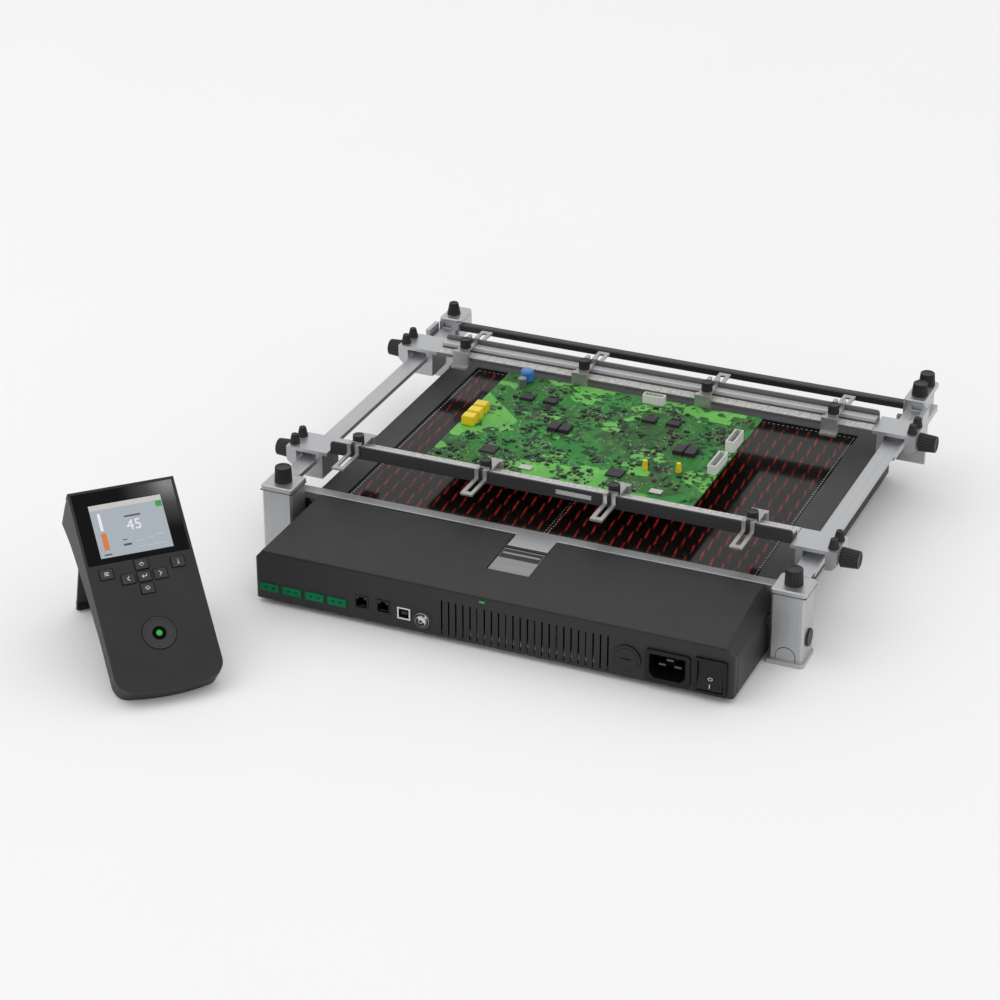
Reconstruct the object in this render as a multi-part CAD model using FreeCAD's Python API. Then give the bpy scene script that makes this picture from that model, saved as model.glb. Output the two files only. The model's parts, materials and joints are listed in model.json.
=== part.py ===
import FreeCAD, Part
import math
import os

# Infrared preheater for circuit boards, with its board support frame and its hand console.
# Millimetres, +Z up, the bench is z = 0, the front panel faces -Y.
# The pieces are first built about the middle of the case, then moved so that the
# middle of the whole set's footprint is the origin.

Vec = FreeCAD.Vector

# Fits and gaps
SHEET = 1.5                 # case sheet thickness
GAP = 0.3                   # clearance between pieces on different bodies
RUN = 0.05                  # radial clearance of a turning pin
SEAT = 0.2                  # assembly gap between case pieces

# Case
CASE_W = 416.0              # width over the side walls
BAY_DEPTH = 99.0            # connector bay, front face to the cover's rear edge
DECK_DEPTH = 328.0          # heated deck, cover's rear edge to the rear wall
FRONT_Y = -245.0            # front face
FOOT_H = 5.0                # rubber feet
SEAM_Z = 48.0               # top edge of the front panel
DECK_Z = 47.0               # top of the deck bezel
COVER_FRONT_T = 1.5         # cover thickness seen above the seam
COVER_RISE = 4.0            # how much the cover rises to its flat part
COVER_FLAT = 17.0           # flat part of the cover, front to rear
CHAMFER_W = 6.0             # bevel along the cover's sides
CHAMFER_H = 7.0
PANEL_RETURN = 8.0          # the front panel turns back round the corners by this
PANEL_T = 2.0

# Heated zone
ZONE_SIDE_MARGIN = 27.0     # from the side walls to the outline printed on the glass
ZONE_FRONT_MARGIN = 20.0
ZONE_REAR_MARGIN = 28.0
WINDOW_MARGIN = 3.0         # bezel window beyond the outline
GLASS_LAP = 6.0             # glass tucked under the bezel
GLASS_T = 4.0
TUBE_COUNT = 33
TUBE_D = 8.0
TUBE_EDGE = 6.6             # outline to the middle of the outermost tubes
HOLDER_H = 7.8
HOLDER_D = 6.0
PAN_T = 1.2
INSULATION_H = 12.0

# Connectors on the front panel: centre across, height above the bench, width, height
TC_FIRST_X = -194.5
TC_PITCH = 20.5
TC_COUNT = 4
TC_Z = 16.5
TC_W = 17.2
TC_H = 7.5
TC_PINS = (-3.2, 3.6)       # middles of the two flat pin slots
TC_SLOT_W = (2.8, 3.6)
RJ_X = (-111.0, -91.5)
RJ_Z = 21.0
RJ_W = 12.5
RJ_H = 12.4
RJ_DEPTH = 14.0
RJ_MOUTH_W = 9.8
RJ_MOUTH_H = 7.6
LATCH_W = 4.4
LATCH_H = 2.2
USB_X = -73.0
USB_Z = 19.0
USB_W = 12.2
USB_H = 11.0
USB_MOUTH_W = 8.8
USB_MOUTH_H = 8.0
USB_TONGUE_W = 5.8
USB_TONGUE_H = 3.2
PEDAL_X = -56.4
PEDAL_Z = 17.2
PEDAL_D = 13.4
PEDAL_BORE = 3.6
VENT_FIRST_X = -39.6
VENT_PITCH = 6.22
VENT_COUNT = 24
VENT_W = 1.4
VENT_LOW = 7.4
VENT_TOP = 38.2
LIGHT_X = -4.2
LIGHT_Z = 44.6
LIGHT_W = 5.0
LIGHT_H = 1.6
FUSE_X = 119.5
FUSE_Z = 22.2
FUSE_D = 23.6
FUSE_BORE = 18.8
FUSE_SLOT = 8.0
FUSE_BODY_L = 30.0
INLET_X = 153.8
INLET_Z = 21.6
INLET_W = 37.6
INLET_H = 28.0
CAVITY_W = 30.0
CAVITY_H = 21.0
CAVITY_DEPTH = 20.0
SWITCH_X = 189.2
SWITCH_Z = 21.8
SWITCH_W = 27.0
SWITCH_H = 31.0
ROCKER_W = 20.6
ROCKER_H = 23.8
ROCKER_TILT = 8.0           # degrees either side of level
BODY_DEPTH = 26.0           # how far inlet and switch bodies reach behind the panel

# Control board in the connector bay
SPACER_H = 5.0
CONTROL_SETBACK = 34.0
CONTROL_REAR_GAP = 6.0
CONTROL_SIDE_GAP = 18.0
CONTROL_W = 290.0
CONTROL_PARTS = (           # share of the width, width, depth, height
    (0.14, 30.0, 20.0, 18.0),
    (0.34, 34.0, 28.0, 22.0),
    (0.52, 20.0, 14.0, 9.0),
    (0.90, 26.0, 26.0, 20.0),
)

# Catch in the middle of the cover
CATCH_X = 0.5
CATCH_W = 36.0
TAB_REACH = 17.0
PLATE_D = 30.0
PLATE_FRONT_GAP = 42.0      # front face to the catch plate

# Support frame
POST_GAP = 3.5              # between the case and a post
POST_W = 28.0
POST_D = 27.0
POST_BEHIND = 24.0          # the front posts stand this far in front of the deck
POST_TOP = 62.6
BRACKET_INSET = 2.0         # rear brackets, in front of the rear wall
BRACKET_LOW = 19.0
BRACKET_T = 4.0
BRACKET_WALL_D = 21.0
BRACKET_WALL_H = 30.0
HOOK_Z = 30.0
SCREW_Z = 22.0
SCREW_INSET = 12.0
TONGUE_D = 34.0             # strap that is screwed to the side wall
TONGUE_LOW = 25.0
TONGUE_H = 20.0
REAR_RISE = 10.5            # the rear caps are higher than the side rails by this
REAR_CAP_W = 20.0
REAR_CAP_D = 31.0
REAR_CAP_EXTRA = 15.0       # the right cap is longer, for a second knob
FOOT_PLATE_T = 4.0
CAP_W = 29.5
RAIL_W = 15.0
RAIL_T = 4.5
STRIP_H = 6.5
STRIP_D = 10.5
BAR_D = 8.0
BAR_H = 7.0
BAR_RISE = 9.0              # top of the rear crossbar above the side rails' underside
POST_KNOB_D = 17.0
POST_KNOB_H = 15.0
SIDE_DISC_D = 15.5
SIDE_DISC_T = 2.0
SIDE_DISC_Z = 21.5
RIBS = 10                   # flutes round a large knob
SMALL_RIBS = 7

# Cross rails
FRONT_RAIL_INSET = 94.0     # middle of the heated zone to the front rail's board side
REAR_RAIL_INSET = 102.0
RULER_Z = 75.5              # top of the ruler ledge
RULER_W = 11.5
RULER_T = 3.0
STEP_W = 8.0                # raised bar behind the ruler
STEP_H = 4.5
STEP_GAP = 1.5
WEB_T = 2.0                 # upright plate at the outer side
WEB_RISE = 8.6
WEB_DROP = 2.0
RAIL_END_GAP = 4.7          # from a cross rail's end to the carriage's inner cheek
CARRIAGE_L = 31.0
CARRIAGE_REACH = 20.5       # outer face of the carriage wall beyond the side rail's middle
CARRIAGE_WALL = 9.5
CARRIAGE_TOP_T = 3.2
CARRIAGE_LOW = 50.0
CHEEK_T = 6.0
SIDE_KNOB_D = 17.0
SIDE_KNOB_L = 15.0
SIDE_SCREW_D = 5.0
THUMB_D = 9.5
THUMB_H = 8.5
THUMB_INSET = 8.0

# Board clips, as shares of the case's half width
CLIPS_FRONT = (-0.887, -0.317, 0.238, 0.815)
CLIPS_REAR = (-0.870, -0.308, 0.255, 0.817)
CLIP_W = 11.0
CLIP_T = 2.0
CLIP_SLOT = 4.0
CLIP_TAIL = 32.0            # beyond the rail's upright plate
CLIP_KNOB_D = 10.5
CLIP_KNOB_H = 10.0
JAW_W = 15.0
JAW_LIP = 3.0
JAW_D = 6.0

# Board being worked on
BOARD_X = -11.0
BOARD_W = 242.0
BOARD_HOLE_D = 4.0
BOARD_HOLE_INSET = 8.5
BOARD_T = 1.6
BOARD_TOP = 71.0
BOARD_CLEAR = 0.4           # between the board's edge and the jaw
BOARD_BLOCKS = (            # share across, share back, width, depth, height
    (0.058, 0.641, 30.0, 24.0, 11.0),
    (0.248, 0.522, 14.0, 14.0, 2.0),
    (0.380, 0.380, 18.0, 18.0, 2.0),
    (0.240, 0.326, 12.0, 20.0, 2.5),
    (0.496, 0.337, 16.0, 14.0, 2.0),
    (0.612, 0.489, 15.0, 13.0, 2.5),
    (0.702, 0.337, 16.0, 22.0, 2.0),
    (0.810, 0.467, 14.0, 14.0, 2.5),
    (0.579, 0.163, 30.0, 18.0, 3.0),
    (0.727, 0.609, 26.0, 7.0, 9.0),
    (0.959, 0.402, 8.0, 46.0, 11.0),
    (0.413, 0.761, 12.0, 10.0, 2.0),
    (0.826, 0.207, 10.0, 8.0, 3.0),
    (0.165, 0.435, 16.0, 12.0, 2.0),
)
BOARD_CANS = (              # share across, share back, diameter, height
    (0.190, 0.913, 13.0, 12.0),
    (0.612, 0.272, 5.2, 9.0),
    (0.785, 0.283, 5.2, 9.0),
)

# Hand console, in its own flat frame before it is stood up
CON_W = 87.0
CON_L = 174.0
CON_T = 22.0
CON_SPLIT = 10.0            # thickness of the front shell
CON_CORNER = 10.0
CON_TILT = 40.5
CON_YAW = 45.0
CON_X = -192.8              # middle of the face's lower edge
CON_Y = -410.8
CON_Z = 13.6
SCREEN_FROM = 110.0         # lower edge of the glossy screen panel
SCREEN_T = 1.6
KEY_W = 10.5
KEY_H = 8.4
KEY_PROUD = 1.1
KEY_TRAVEL = 0.8
KEYS = {
    "menu_key": (-29.0, 101.0),
    "up_key": (0.0, 104.4),
    "left_key": (-13.0, 94.0),
    "enter_key": (0.0, 94.0),
    "right_key": (13.0, 94.0),
    "down_key": (0.0, 83.6),
    "info_key": (29.0, 101.0),
}
START_Y = 45.6
START_D = 27.0
START_TRAVEL = 1.5
STAND_Y = 150.0             # hinge, up the back of the console
STAND_L = 104.0
STAND_W = 70.0
STAND_T = 3.0
STAND_OPEN = 72.7           # degrees between the open stand and the back
STAND_PIN_D = 3.0
STAND_BARREL_D = 6.4

# Worked out from the sizes above
HALF = CASE_W / 2
COVER_BACK = FRONT_Y + BAY_DEPTH
DECK_BACK = COVER_BACK + DECK_DEPTH
COVER_Z = SEAM_Z + SEAT + COVER_FRONT_T + COVER_RISE
ZONE_W = CASE_W - 2 * ZONE_SIDE_MARGIN
ZONE_D = DECK_DEPTH - ZONE_FRONT_MARGIN - ZONE_REAR_MARGIN
ZONE_Y = DECK_BACK - ZONE_REAR_MARGIN - ZONE_D / 2
TUBE_PITCH = (ZONE_W - 2 * TUBE_EDGE) / (TUBE_COUNT - 1)
GLASS_TOP = DECK_Z - SHEET
PAN_BASE = FOOT_H + SHEET + INSULATION_H
PAN_W = ZONE_W + 2 * WINDOW_MARGIN + GLASS_LAP
PAN_D = ZONE_D + 2 * WINDOW_MARGIN + GLASS_LAP
RAIL_TOP = POST_TOP + RAIL_T
POST_X = HALF + POST_GAP + POST_W / 2
POST_Y_FRONT = COVER_BACK - POST_BEHIND
POST_FRONT_MID = POST_Y_FRONT + POST_D / 2
BRACKET_Y = DECK_BACK - BRACKET_INSET
REAR_CAP_LOW = POST_TOP + REAR_RISE
REAR_CAP_Y = BRACKET_Y + BRACKET_T + 0.8
RAIL_IN = POST_X - RAIL_W / 2
RAIL_OUT = POST_X + RAIL_W / 2
RAIL_REACH = RAIL_IN - GAP - CHEEK_T - RAIL_END_GAP
CARRIAGE_OUT = POST_X + CARRIAGE_REACH
RAIL_INNER_FRONT = ZONE_Y - FRONT_RAIL_INSET
RAIL_INNER_REAR = ZONE_Y + REAR_RAIL_INSET
RAIL_DEPTH = RULER_W + STEP_GAP + STEP_W + STEP_GAP + WEB_T
STEP_TOP = RULER_Z + STEP_H
WEB_TOP = RULER_Z + WEB_RISE
CARRIAGE_TOP = RULER_Z
CARRIAGE_UNDER = CARRIAGE_TOP - CARRIAGE_TOP_T
BOARD_Y0 = RAIL_INNER_FRONT + JAW_D
BOARD_Y1 = RAIL_INNER_REAR - JAW_D


def box(x0, x1, y0, y1, z0, z1):
    return Part.makeBox(x1 - x0, y1 - y0, z1 - z0, Vec(x0, y0, z0))


def centred(x, y, z0, w, d, h):
    return box(x - w / 2, x + w / 2, y - d / 2, y + d / 2, z0, z0 + h)


def rod(r, length, start, direction):
    return Part.makeCylinder(r, length, Vec(*start), Vec(*direction))


def prism(points, sweep):
    """Extrude a closed outline of 3-D points along a vector."""
    wire = Part.makePolygon([Vec(*p) for p in points] + [Vec(*points[0])])
    return Part.Face(wire).extrude(Vec(*sweep))


def drum(r, length, start, direction, sides=12):
    """Round bar with flat facets, for round things that nothing turns in."""
    axis = Vec(*direction)
    across = Vec(0, 0, 1) if abs(axis.z) < 0.5 else Vec(1, 0, 0)
    other = axis.cross(across)
    points = []
    for i in range(sides):
        turn = 2 * math.pi * (i + 0.5) / sides
        points.append(Vec(*start) + across * (r * math.cos(turn)) + other * (r * math.sin(turn)))
    return prism([(p.x, p.y, p.z) for p in points], tuple(axis * length))


def edges_along(shape, axis):
    """Straight edges that run along one axis: 0 is X, 1 is Y, 2 is Z."""
    found = []
    for edge in shape.Edges:
        a, b = edge.Vertexes[0].Point, edge.Vertexes[-1].Point
        run = [abs(b[i] - a[i]) for i in range(3)]
        if run[axis] > 1e-6 and sum(run) - run[axis] < 1e-6:
            found.append(edge)
    return found


def rounded(shape, radius, axis):
    return shape.makeFillet(radius, edges_along(shape, axis))


def eased(shape, size, axis):
    return shape.makeChamfer(size, edges_along(shape, axis))


def fluted(diameter, height, waist=0.86, ribs=SMALL_RIBS):
    """Knob standing on z = 0, with flutes round it and a narrower top."""
    def ring(radius, z):
        points = []
        for i in range(2 * ribs):
            r = radius if i % 2 else radius * 0.93
            turn = math.pi * i / ribs
            points.append(Vec(r * math.cos(turn), r * math.sin(turn), z))
        return points
    r = diameter / 2
    rings = [ring(r, 0), ring(r * waist, 0.8 * height), ring(r * waist * 0.85, height)]
    outlines = [rings[0], rings[-1]]
    for lower, upper in zip(rings, rings[1:]):
        for i in range(2 * ribs):
            j = (i + 1) % (2 * ribs)
            outlines.append([lower[i], lower[j], upper[j], upper[i]])
    faces = [Part.Face(Part.makePolygon(o + [o[0]])) for o in outlines]
    knob = Part.makeSolid(Part.makeShell(faces))
    return knob if knob.Volume > 0 else knob.reversed()


# Case

def panel_outline(half, low, top):
    """Front view of the case, with the bevels along its upper sides."""
    return [(-half, 0, low), (half, 0, low), (half, 0, top - CHAMFER_H),
            (half - CHAMFER_W, 0, top), (-half + CHAMFER_W, 0, top), (-half, 0, top - CHAMFER_H)]


def lower_case():
    y0 = FRONT_Y + PANEL_RETURN + SEAT
    wall_top = DECK_Z - SHEET
    tub = rounded(box(-HALF, HALF, y0, DECK_BACK, FOOT_H, wall_top), 3, 2)
    tub = tub.cut(box(-HALF + SHEET, HALF - SHEET, y0 - 1, DECK_BACK - SHEET,
                      FOOT_H + SHEET, wall_top + 1))
    lowered = SEAM_Z - CHAMFER_H - SEAT
    return tub.cut(box(-HALF - 1, HALF + 1, y0 - 1, COVER_BACK, lowered, wall_top + 1))


def vent_slot(x):
    return box(x - VENT_W / 2, x + VENT_W / 2, FRONT_Y - 1, FRONT_Y + PANEL_T + 1,
               VENT_LOW, VENT_TOP)


def panel_cut(x, z, w, h):
    return box(x - w / 2, x + w / 2, FRONT_Y - 1, FRONT_Y + PANEL_T + 1, z - h / 2, z + h / 2)


def panel_hole(x, z, d):
    return drum(d / 2, PANEL_T + 2, (x, FRONT_Y - 1, z), (0, 1, 0), 24)


def tc_positions():
    return [TC_FIRST_X + i * TC_PITCH for i in range(TC_COUNT)]


def front_panel():
    """Sheet panel that wraps the corners of the bay and carries every connector."""
    shell = prism(panel_outline(HALF, FOOT_H, SEAM_Z), (0, PANEL_RETURN, 0))
    shell.translate(Vec(0, FRONT_Y, 0))
    upright = [e for e in edges_along(shell, 2) if e.Vertexes[0].Point.y < FRONT_Y + 0.01]
    shell = shell.makeFillet(PANEL_RETURN / 2, upright)
    hollow = prism(panel_outline(HALF - PANEL_T, FOOT_H - 1, SEAM_Z - PANEL_T), (0, PANEL_RETURN, 0))
    hollow.translate(Vec(0, FRONT_Y + PANEL_T, 0))
    shell = shell.cut(hollow)
    cuts = [vent_slot(VENT_FIRST_X + i * VENT_PITCH) for i in range(VENT_COUNT)]
    cuts += [panel_cut(x, TC_Z, TC_W, TC_H) for x in tc_positions()]
    cuts += [panel_cut(x, RJ_Z, RJ_W, RJ_H) for x in RJ_X]
    cuts.append(panel_cut(USB_X, USB_Z, USB_W, USB_H))
    cuts.append(panel_hole(PEDAL_X, PEDAL_Z, PEDAL_D - 2))
    cuts.append(panel_hole(FUSE_X, FUSE_Z, FUSE_D - 2))
    cuts.append(panel_cut(INLET_X, INLET_Z, INLET_W - 3, INLET_H - 3))
    cuts.append(panel_cut(SWITCH_X, SWITCH_Z, SWITCH_W - 3, SWITCH_H - 3))
    cuts.append(panel_cut(LIGHT_X, LIGHT_Z, LIGHT_W, LIGHT_H))
    return shell.cut(cuts)


def cover_body(inset):
    """Wedge of the cover, pulled in by one sheet thickness for its inside."""
    half = HALF - inset
    front_z = COVER_Z - COVER_RISE - inset
    flat_y = COVER_BACK - COVER_FLAT
    low = SEAM_Z - CHAMFER_H - inset * 2
    side = [(-half, FRONT_Y - inset, low), (-half, FRONT_Y - inset, front_z),
            (-half, flat_y, COVER_Z - inset), (-half, COVER_BACK + inset, COVER_Z - inset),
            (-half, COVER_BACK + inset, low)]
    wedge = prism(side, (2 * half, 0, 0))
    slope = CHAMFER_W / CHAMFER_H
    top = COVER_Z - inset
    lean = slope * (top - SEAM_Z + CHAMFER_H)
    front = [(-half, FRONT_Y - 5, low), (half, FRONT_Y - 5, low),
             (half, FRONT_Y - 5, SEAM_Z - CHAMFER_H), (half - lean, FRONT_Y - 5, top),
             (-half + lean, FRONT_Y - 5, top), (-half, FRONT_Y - 5, SEAM_Z - CHAMFER_H)]
    return wedge.common(prism(front, (0, BAY_DEPTH + 10, 0)))


def front_cover():
    """Sloped lid of the connector bay, an inverted trough of sheet metal."""
    lid = cover_body(0.0).cut(cover_body(SHEET))
    below_seam = box(-HALF - 1, HALF + 1, FRONT_Y - 1, FRONT_Y + PANEL_RETURN + SEAT,
                     0, SEAM_Z + SEAT)
    notch = box(CATCH_X - CATCH_W / 2 - 1, CATCH_X + CATCH_W / 2 + 1,
                COVER_BACK - TAB_REACH - 1, COVER_BACK + 1, SEAM_Z, COVER_Z + 1)
    plate_y = FRONT_Y + PLATE_FRONT_GAP
    recess = box(CATCH_X - CATCH_W / 2 - 1, CATCH_X + CATCH_W / 2 + 1,
                 plate_y - 1, COVER_BACK - TAB_REACH - 4, SEAM_Z, COVER_Z + 1)
    return lid.cut([below_seam, notch, recess])


def cover_height(y):
    run = BAY_DEPTH - COVER_FLAT
    return COVER_Z - COVER_RISE + COVER_RISE * min(1.0, (y - FRONT_Y) / run)


def catch_plate():
    """Sheet plate that closes the recess in the cover and hooks under the tab."""
    def slab(width, ya, yb, low, high):
        x0 = CATCH_X - width / 2
        za, zb = cover_height(ya), cover_height(yb)
        side = [(x0, ya, za + low), (x0, yb, zb + low), (x0, yb, zb + high), (x0, ya, za + high)]
        return prism(side, (width, 0, 0))
    y0 = FRONT_Y + PLATE_FRONT_GAP
    y1 = COVER_BACK - TAB_REACH - 5
    plate = slab(CATCH_W, y0, y1, -SHEET - 0.4, -0.4)
    lip = slab(CATCH_W + 8, y0 + 4, y1 - 2, -2 * SHEET - 1, -SHEET - GAP)
    return plate.fuse(lip)


def deck_bezel():
    window_w = ZONE_W + 2 * WINDOW_MARGIN
    window_d = ZONE_D + 2 * WINDOW_MARGIN
    plate = rounded(box(-HALF, HALF, COVER_BACK + SEAT, DECK_BACK, GLASS_TOP, DECK_Z), 3, 2)
    return plate.cut(centred(0, ZONE_Y, GLASS_TOP - 1, window_w, window_d, SHEET + 2))


def ceramic_glass():
    w = ZONE_W + 2 * (WINDOW_MARGIN + GLASS_LAP)
    d = ZONE_D + 2 * (WINDOW_MARGIN + GLASS_LAP)
    return rounded(centred(0, ZONE_Y, GLASS_TOP - GLASS_T, w, d, GLASS_T), 4, 2)


def reflector_pan():
    top = GLASS_TOP - GLASS_T
    pan = centred(0, ZONE_Y, PAN_BASE, PAN_W, PAN_D, top - PAN_BASE)
    inner = centred(0, ZONE_Y, PAN_BASE + PAN_T, PAN_W - 2 * PAN_T, PAN_D - 2 * PAN_T,
                    top - PAN_BASE)
    return pan.cut(inner)


def insulation_board():
    return centred(0, ZONE_Y, FOOT_H + SHEET, PAN_W, PAN_D, INSULATION_H)


def tube_holders():
    bars = []
    for side in (-1, 1):
        y = ZONE_Y + side * (PAN_D / 2 - PAN_T - HOLDER_D)
        bars.append(centred(0, y, PAN_BASE + PAN_T, PAN_W - 8, HOLDER_D, HOLDER_H))
    return bars


def heater_tubes():
    length = PAN_D - 2 * PAN_T - 2
    z = PAN_BASE + PAN_T + HOLDER_H + TUBE_D / 2
    first = -TUBE_PITCH * (TUBE_COUNT - 1) / 2
    return [drum(TUBE_D / 2, length, (first + i * TUBE_PITCH, ZONE_Y - length / 2, z), (0, 1, 0), 8)
            for i in range(TUBE_COUNT)]


def control_board():
    """Power and control board on six spacers, with its tall parts in one row."""
    floor_z = FOOT_H + SHEET
    z = floor_z + SPACER_H
    y0 = FRONT_Y + PANEL_T + CONTROL_SETBACK
    y1 = COVER_BACK - CONTROL_REAR_GAP
    x0 = -HALF + CONTROL_SIDE_GAP
    x1 = x0 + CONTROL_W
    board = box(x0, x1, y0, y1, z, z + BOARD_T)
    for x in (x0 + 10, (x0 + x1) / 2, x1 - 10):
        for y in (y0 + 6, y1 - 6):
            board = board.fuse(drum(3, SPACER_H + 0.1, (x, y, floor_z), (0, 0, 1), 8))
    for share, w, d, h in CONTROL_PARTS:
        x = x0 + share * CONTROL_W
        board = board.fuse(centred(x, (y0 + y1) / 2, z + BOARD_T, w, d, h))
    return board


def heat_sink():
    """Finned block behind the vents, on which the power switches are screwed."""
    y0 = FRONT_Y + PANEL_T + 6
    width = VENT_PITCH * (VENT_COUNT - 6)
    x0 = VENT_FIRST_X + 3 * VENT_PITCH
    sink = box(x0, x0 + width, y0, y0 + 26, FOOT_H + SHEET, FOOT_H + SHEET + 5)
    fins = int(width // 8)
    for i in range(fins + 1):
        x = x0 + i * (width - 2) / fins
        sink = sink.fuse(box(x, x + 2, y0, y0 + 26, FOOT_H + SHEET + 4, VENT_TOP - 3))
    return sink


def thermocouple_sockets():
    sockets = []
    for x in tc_positions():
        body = box(x - TC_W / 2 + 0.2, x + TC_W / 2 - 0.2, FRONT_Y - 1.2, FRONT_Y + 12,
                   TC_Z - TC_H / 2 + 0.2, TC_Z + TC_H / 2 - 0.2)
        body = body.fuse(box(x - TC_W / 2 - 1, x + TC_W / 2 + 1, FRONT_Y + PANEL_T, FRONT_Y + 12,
                             TC_Z - TC_H / 2 - 1, TC_Z + TC_H / 2 + 1))
        slots = [box(x + pin - w / 2, x + pin + w / 2, FRONT_Y - 2, FRONT_Y + 9,
                     TC_Z - 0.5, TC_Z + 0.5) for pin, w in zip(TC_PINS, TC_SLOT_W)]
        sockets.append(body.cut(slots))
    return sockets


def data_sockets():
    """Two modular sockets and a square-bodied serial socket."""
    sockets = []
    for x in RJ_X:
        body = box(x - RJ_W / 2 + 0.2, x + RJ_W / 2 - 0.2, FRONT_Y - 0.6, FRONT_Y + RJ_DEPTH + 2,
                   RJ_Z - RJ_H / 2 + 0.2, RJ_Z + RJ_H / 2 - 0.2)
        low = RJ_Z - RJ_H / 2 + 1.2
        mouth_top = low + RJ_MOUTH_H
        cavity = box(x - RJ_MOUTH_W / 2, x + RJ_MOUTH_W / 2, FRONT_Y - 1, FRONT_Y + RJ_DEPTH,
                     low, mouth_top)
        latch = box(x - LATCH_W / 2, x + LATCH_W / 2, FRONT_Y - 1, FRONT_Y + RJ_DEPTH,
                    mouth_top - 0.6, mouth_top + LATCH_H)
        sockets.append(body.cut([cavity, latch]))
    shell = box(USB_X - USB_W / 2 + 0.2, USB_X + USB_W / 2 - 0.2, FRONT_Y - 0.8, FRONT_Y + 14,
                USB_Z - USB_H / 2 + 0.2, USB_Z + USB_H / 2 - 0.2)
    mouth = box(USB_X - USB_MOUTH_W / 2, USB_X + USB_MOUTH_W / 2, FRONT_Y - 1, FRONT_Y + 11,
                USB_Z - USB_MOUTH_H / 2, USB_Z + USB_MOUTH_H / 2)
    tongue = box(USB_X - USB_TONGUE_W / 2, USB_X + USB_TONGUE_W / 2, FRONT_Y + 0.6, FRONT_Y + 12,
                 USB_Z - USB_TONGUE_H / 2, USB_Z + USB_TONGUE_H / 2)
    sockets.append(shell.cut(mouth).fuse(tongue))
    return sockets


def pedal_jack():
    """Round audio-style jack for the foot switch, with its ring nut."""
    nut = drum(PEDAL_D / 2, 3, (PEDAL_X, FRONT_Y - 3, PEDAL_Z), (0, 1, 0), 16)
    nut = nut.fuse(drum(PEDAL_D / 2 - 2.2, 1.6, (PEDAL_X, FRONT_Y - 4.6, PEDAL_Z), (0, 1, 0), 16))
    barrel = drum(PEDAL_D / 2 - 1.2, 20, (PEDAL_X, FRONT_Y - 0.1, PEDAL_Z), (0, 1, 0), 16)
    bore = drum(PEDAL_BORE / 2, 19, (PEDAL_X, FRONT_Y - 5, PEDAL_Z), (0, 1, 0), 10)
    return nut.fuse(barrel).cut(bore)


def status_light():
    w = LIGHT_W - 0.3
    h = LIGHT_H - 0.3
    return box(LIGHT_X - w / 2, LIGHT_X + w / 2, FRONT_Y - 0.5, FRONT_Y + 8,
               LIGHT_Z - h / 2, LIGHT_Z + h / 2)


def fuse_holder():
    ring = drum(FUSE_D / 2, 1.6, (FUSE_X, FRONT_Y - 1.6, FUSE_Z), (0, 1, 0), 24)
    sleeve = drum(FUSE_D / 2 - 1.2, FUSE_BODY_L, (FUSE_X, FRONT_Y - 0.1, FUSE_Z), (0, 1, 0), 16)
    mouth = rod(FUSE_BORE / 2, 8, (FUSE_X, FRONT_Y - 2, FUSE_Z), (0, 1, 0))
    bore = drum(FUSE_BORE / 2 - 0.5, FUSE_BODY_L - 2, (FUSE_X, FRONT_Y - 2, FUSE_Z), (0, 1, 0), 12)
    return ring.fuse(sleeve).cut([mouth, bore])


def fuse_cap():
    """Bayonet cap with a screwdriver slot, and the cartridge fuse that it carries."""
    cap = rod(FUSE_BORE / 2 - RUN, 6, (FUSE_X, FRONT_Y - 2.0, FUSE_Z), (0, 1, 0))
    slot = box(FUSE_X - FUSE_SLOT / 2, FUSE_X + FUSE_SLOT / 2, FRONT_Y - 2.6, FRONT_Y - 0.8,
               FUSE_Z - 0.6, FUSE_Z + 0.6)
    link = drum(3.2, 20, (FUSE_X, FRONT_Y + 3.9, FUSE_Z), (0, 1, 0), 10)
    return cap.cut(slot).fuse(link)


def mains_inlet():
    """Appliance inlet with a deep cavity and three flat blades lying level."""
    flange = rounded(box(INLET_X - INLET_W / 2, INLET_X + INLET_W / 2, FRONT_Y - 2.2, FRONT_Y,
                         INLET_Z - INLET_H / 2, INLET_Z + INLET_H / 2), 3, 1)
    body = box(INLET_X - INLET_W / 2 + 1.7, INLET_X + INLET_W / 2 - 1.7, FRONT_Y - 0.1,
               FRONT_Y + BODY_DEPTH, INLET_Z - INLET_H / 2 + 1.7, INLET_Z + INLET_H / 2 - 1.7)
    x0, x1 = INLET_X - CAVITY_W / 2, INLET_X + CAVITY_W / 2
    z0, z1 = INLET_Z - CAVITY_H / 2, INLET_Z + CAVITY_H / 2
    corner = 4.0
    outline = [(x0, 0, z0 + corner), (x0 + corner, 0, z0), (x1 - corner, 0, z0), (x1, 0, z0 + corner),
               (x1, 0, z1), (x0, 0, z1)]
    cavity = prism(outline, (0, CAVITY_DEPTH + 3, 0))
    cavity.translate(Vec(0, FRONT_Y - 3, 0))
    inlet = flange.fuse(body).cut(cavity)
    for dx, dz in ((-6.5, -1.5), (6.5, -1.5), (0, 3.5)):
        inlet = inlet.fuse(box(INLET_X + dx - 3, INLET_X + dx + 3, FRONT_Y + 5,
                               FRONT_Y + CAVITY_DEPTH + 1, INLET_Z + dz - 1, INLET_Z + dz + 1))
    return inlet


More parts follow.
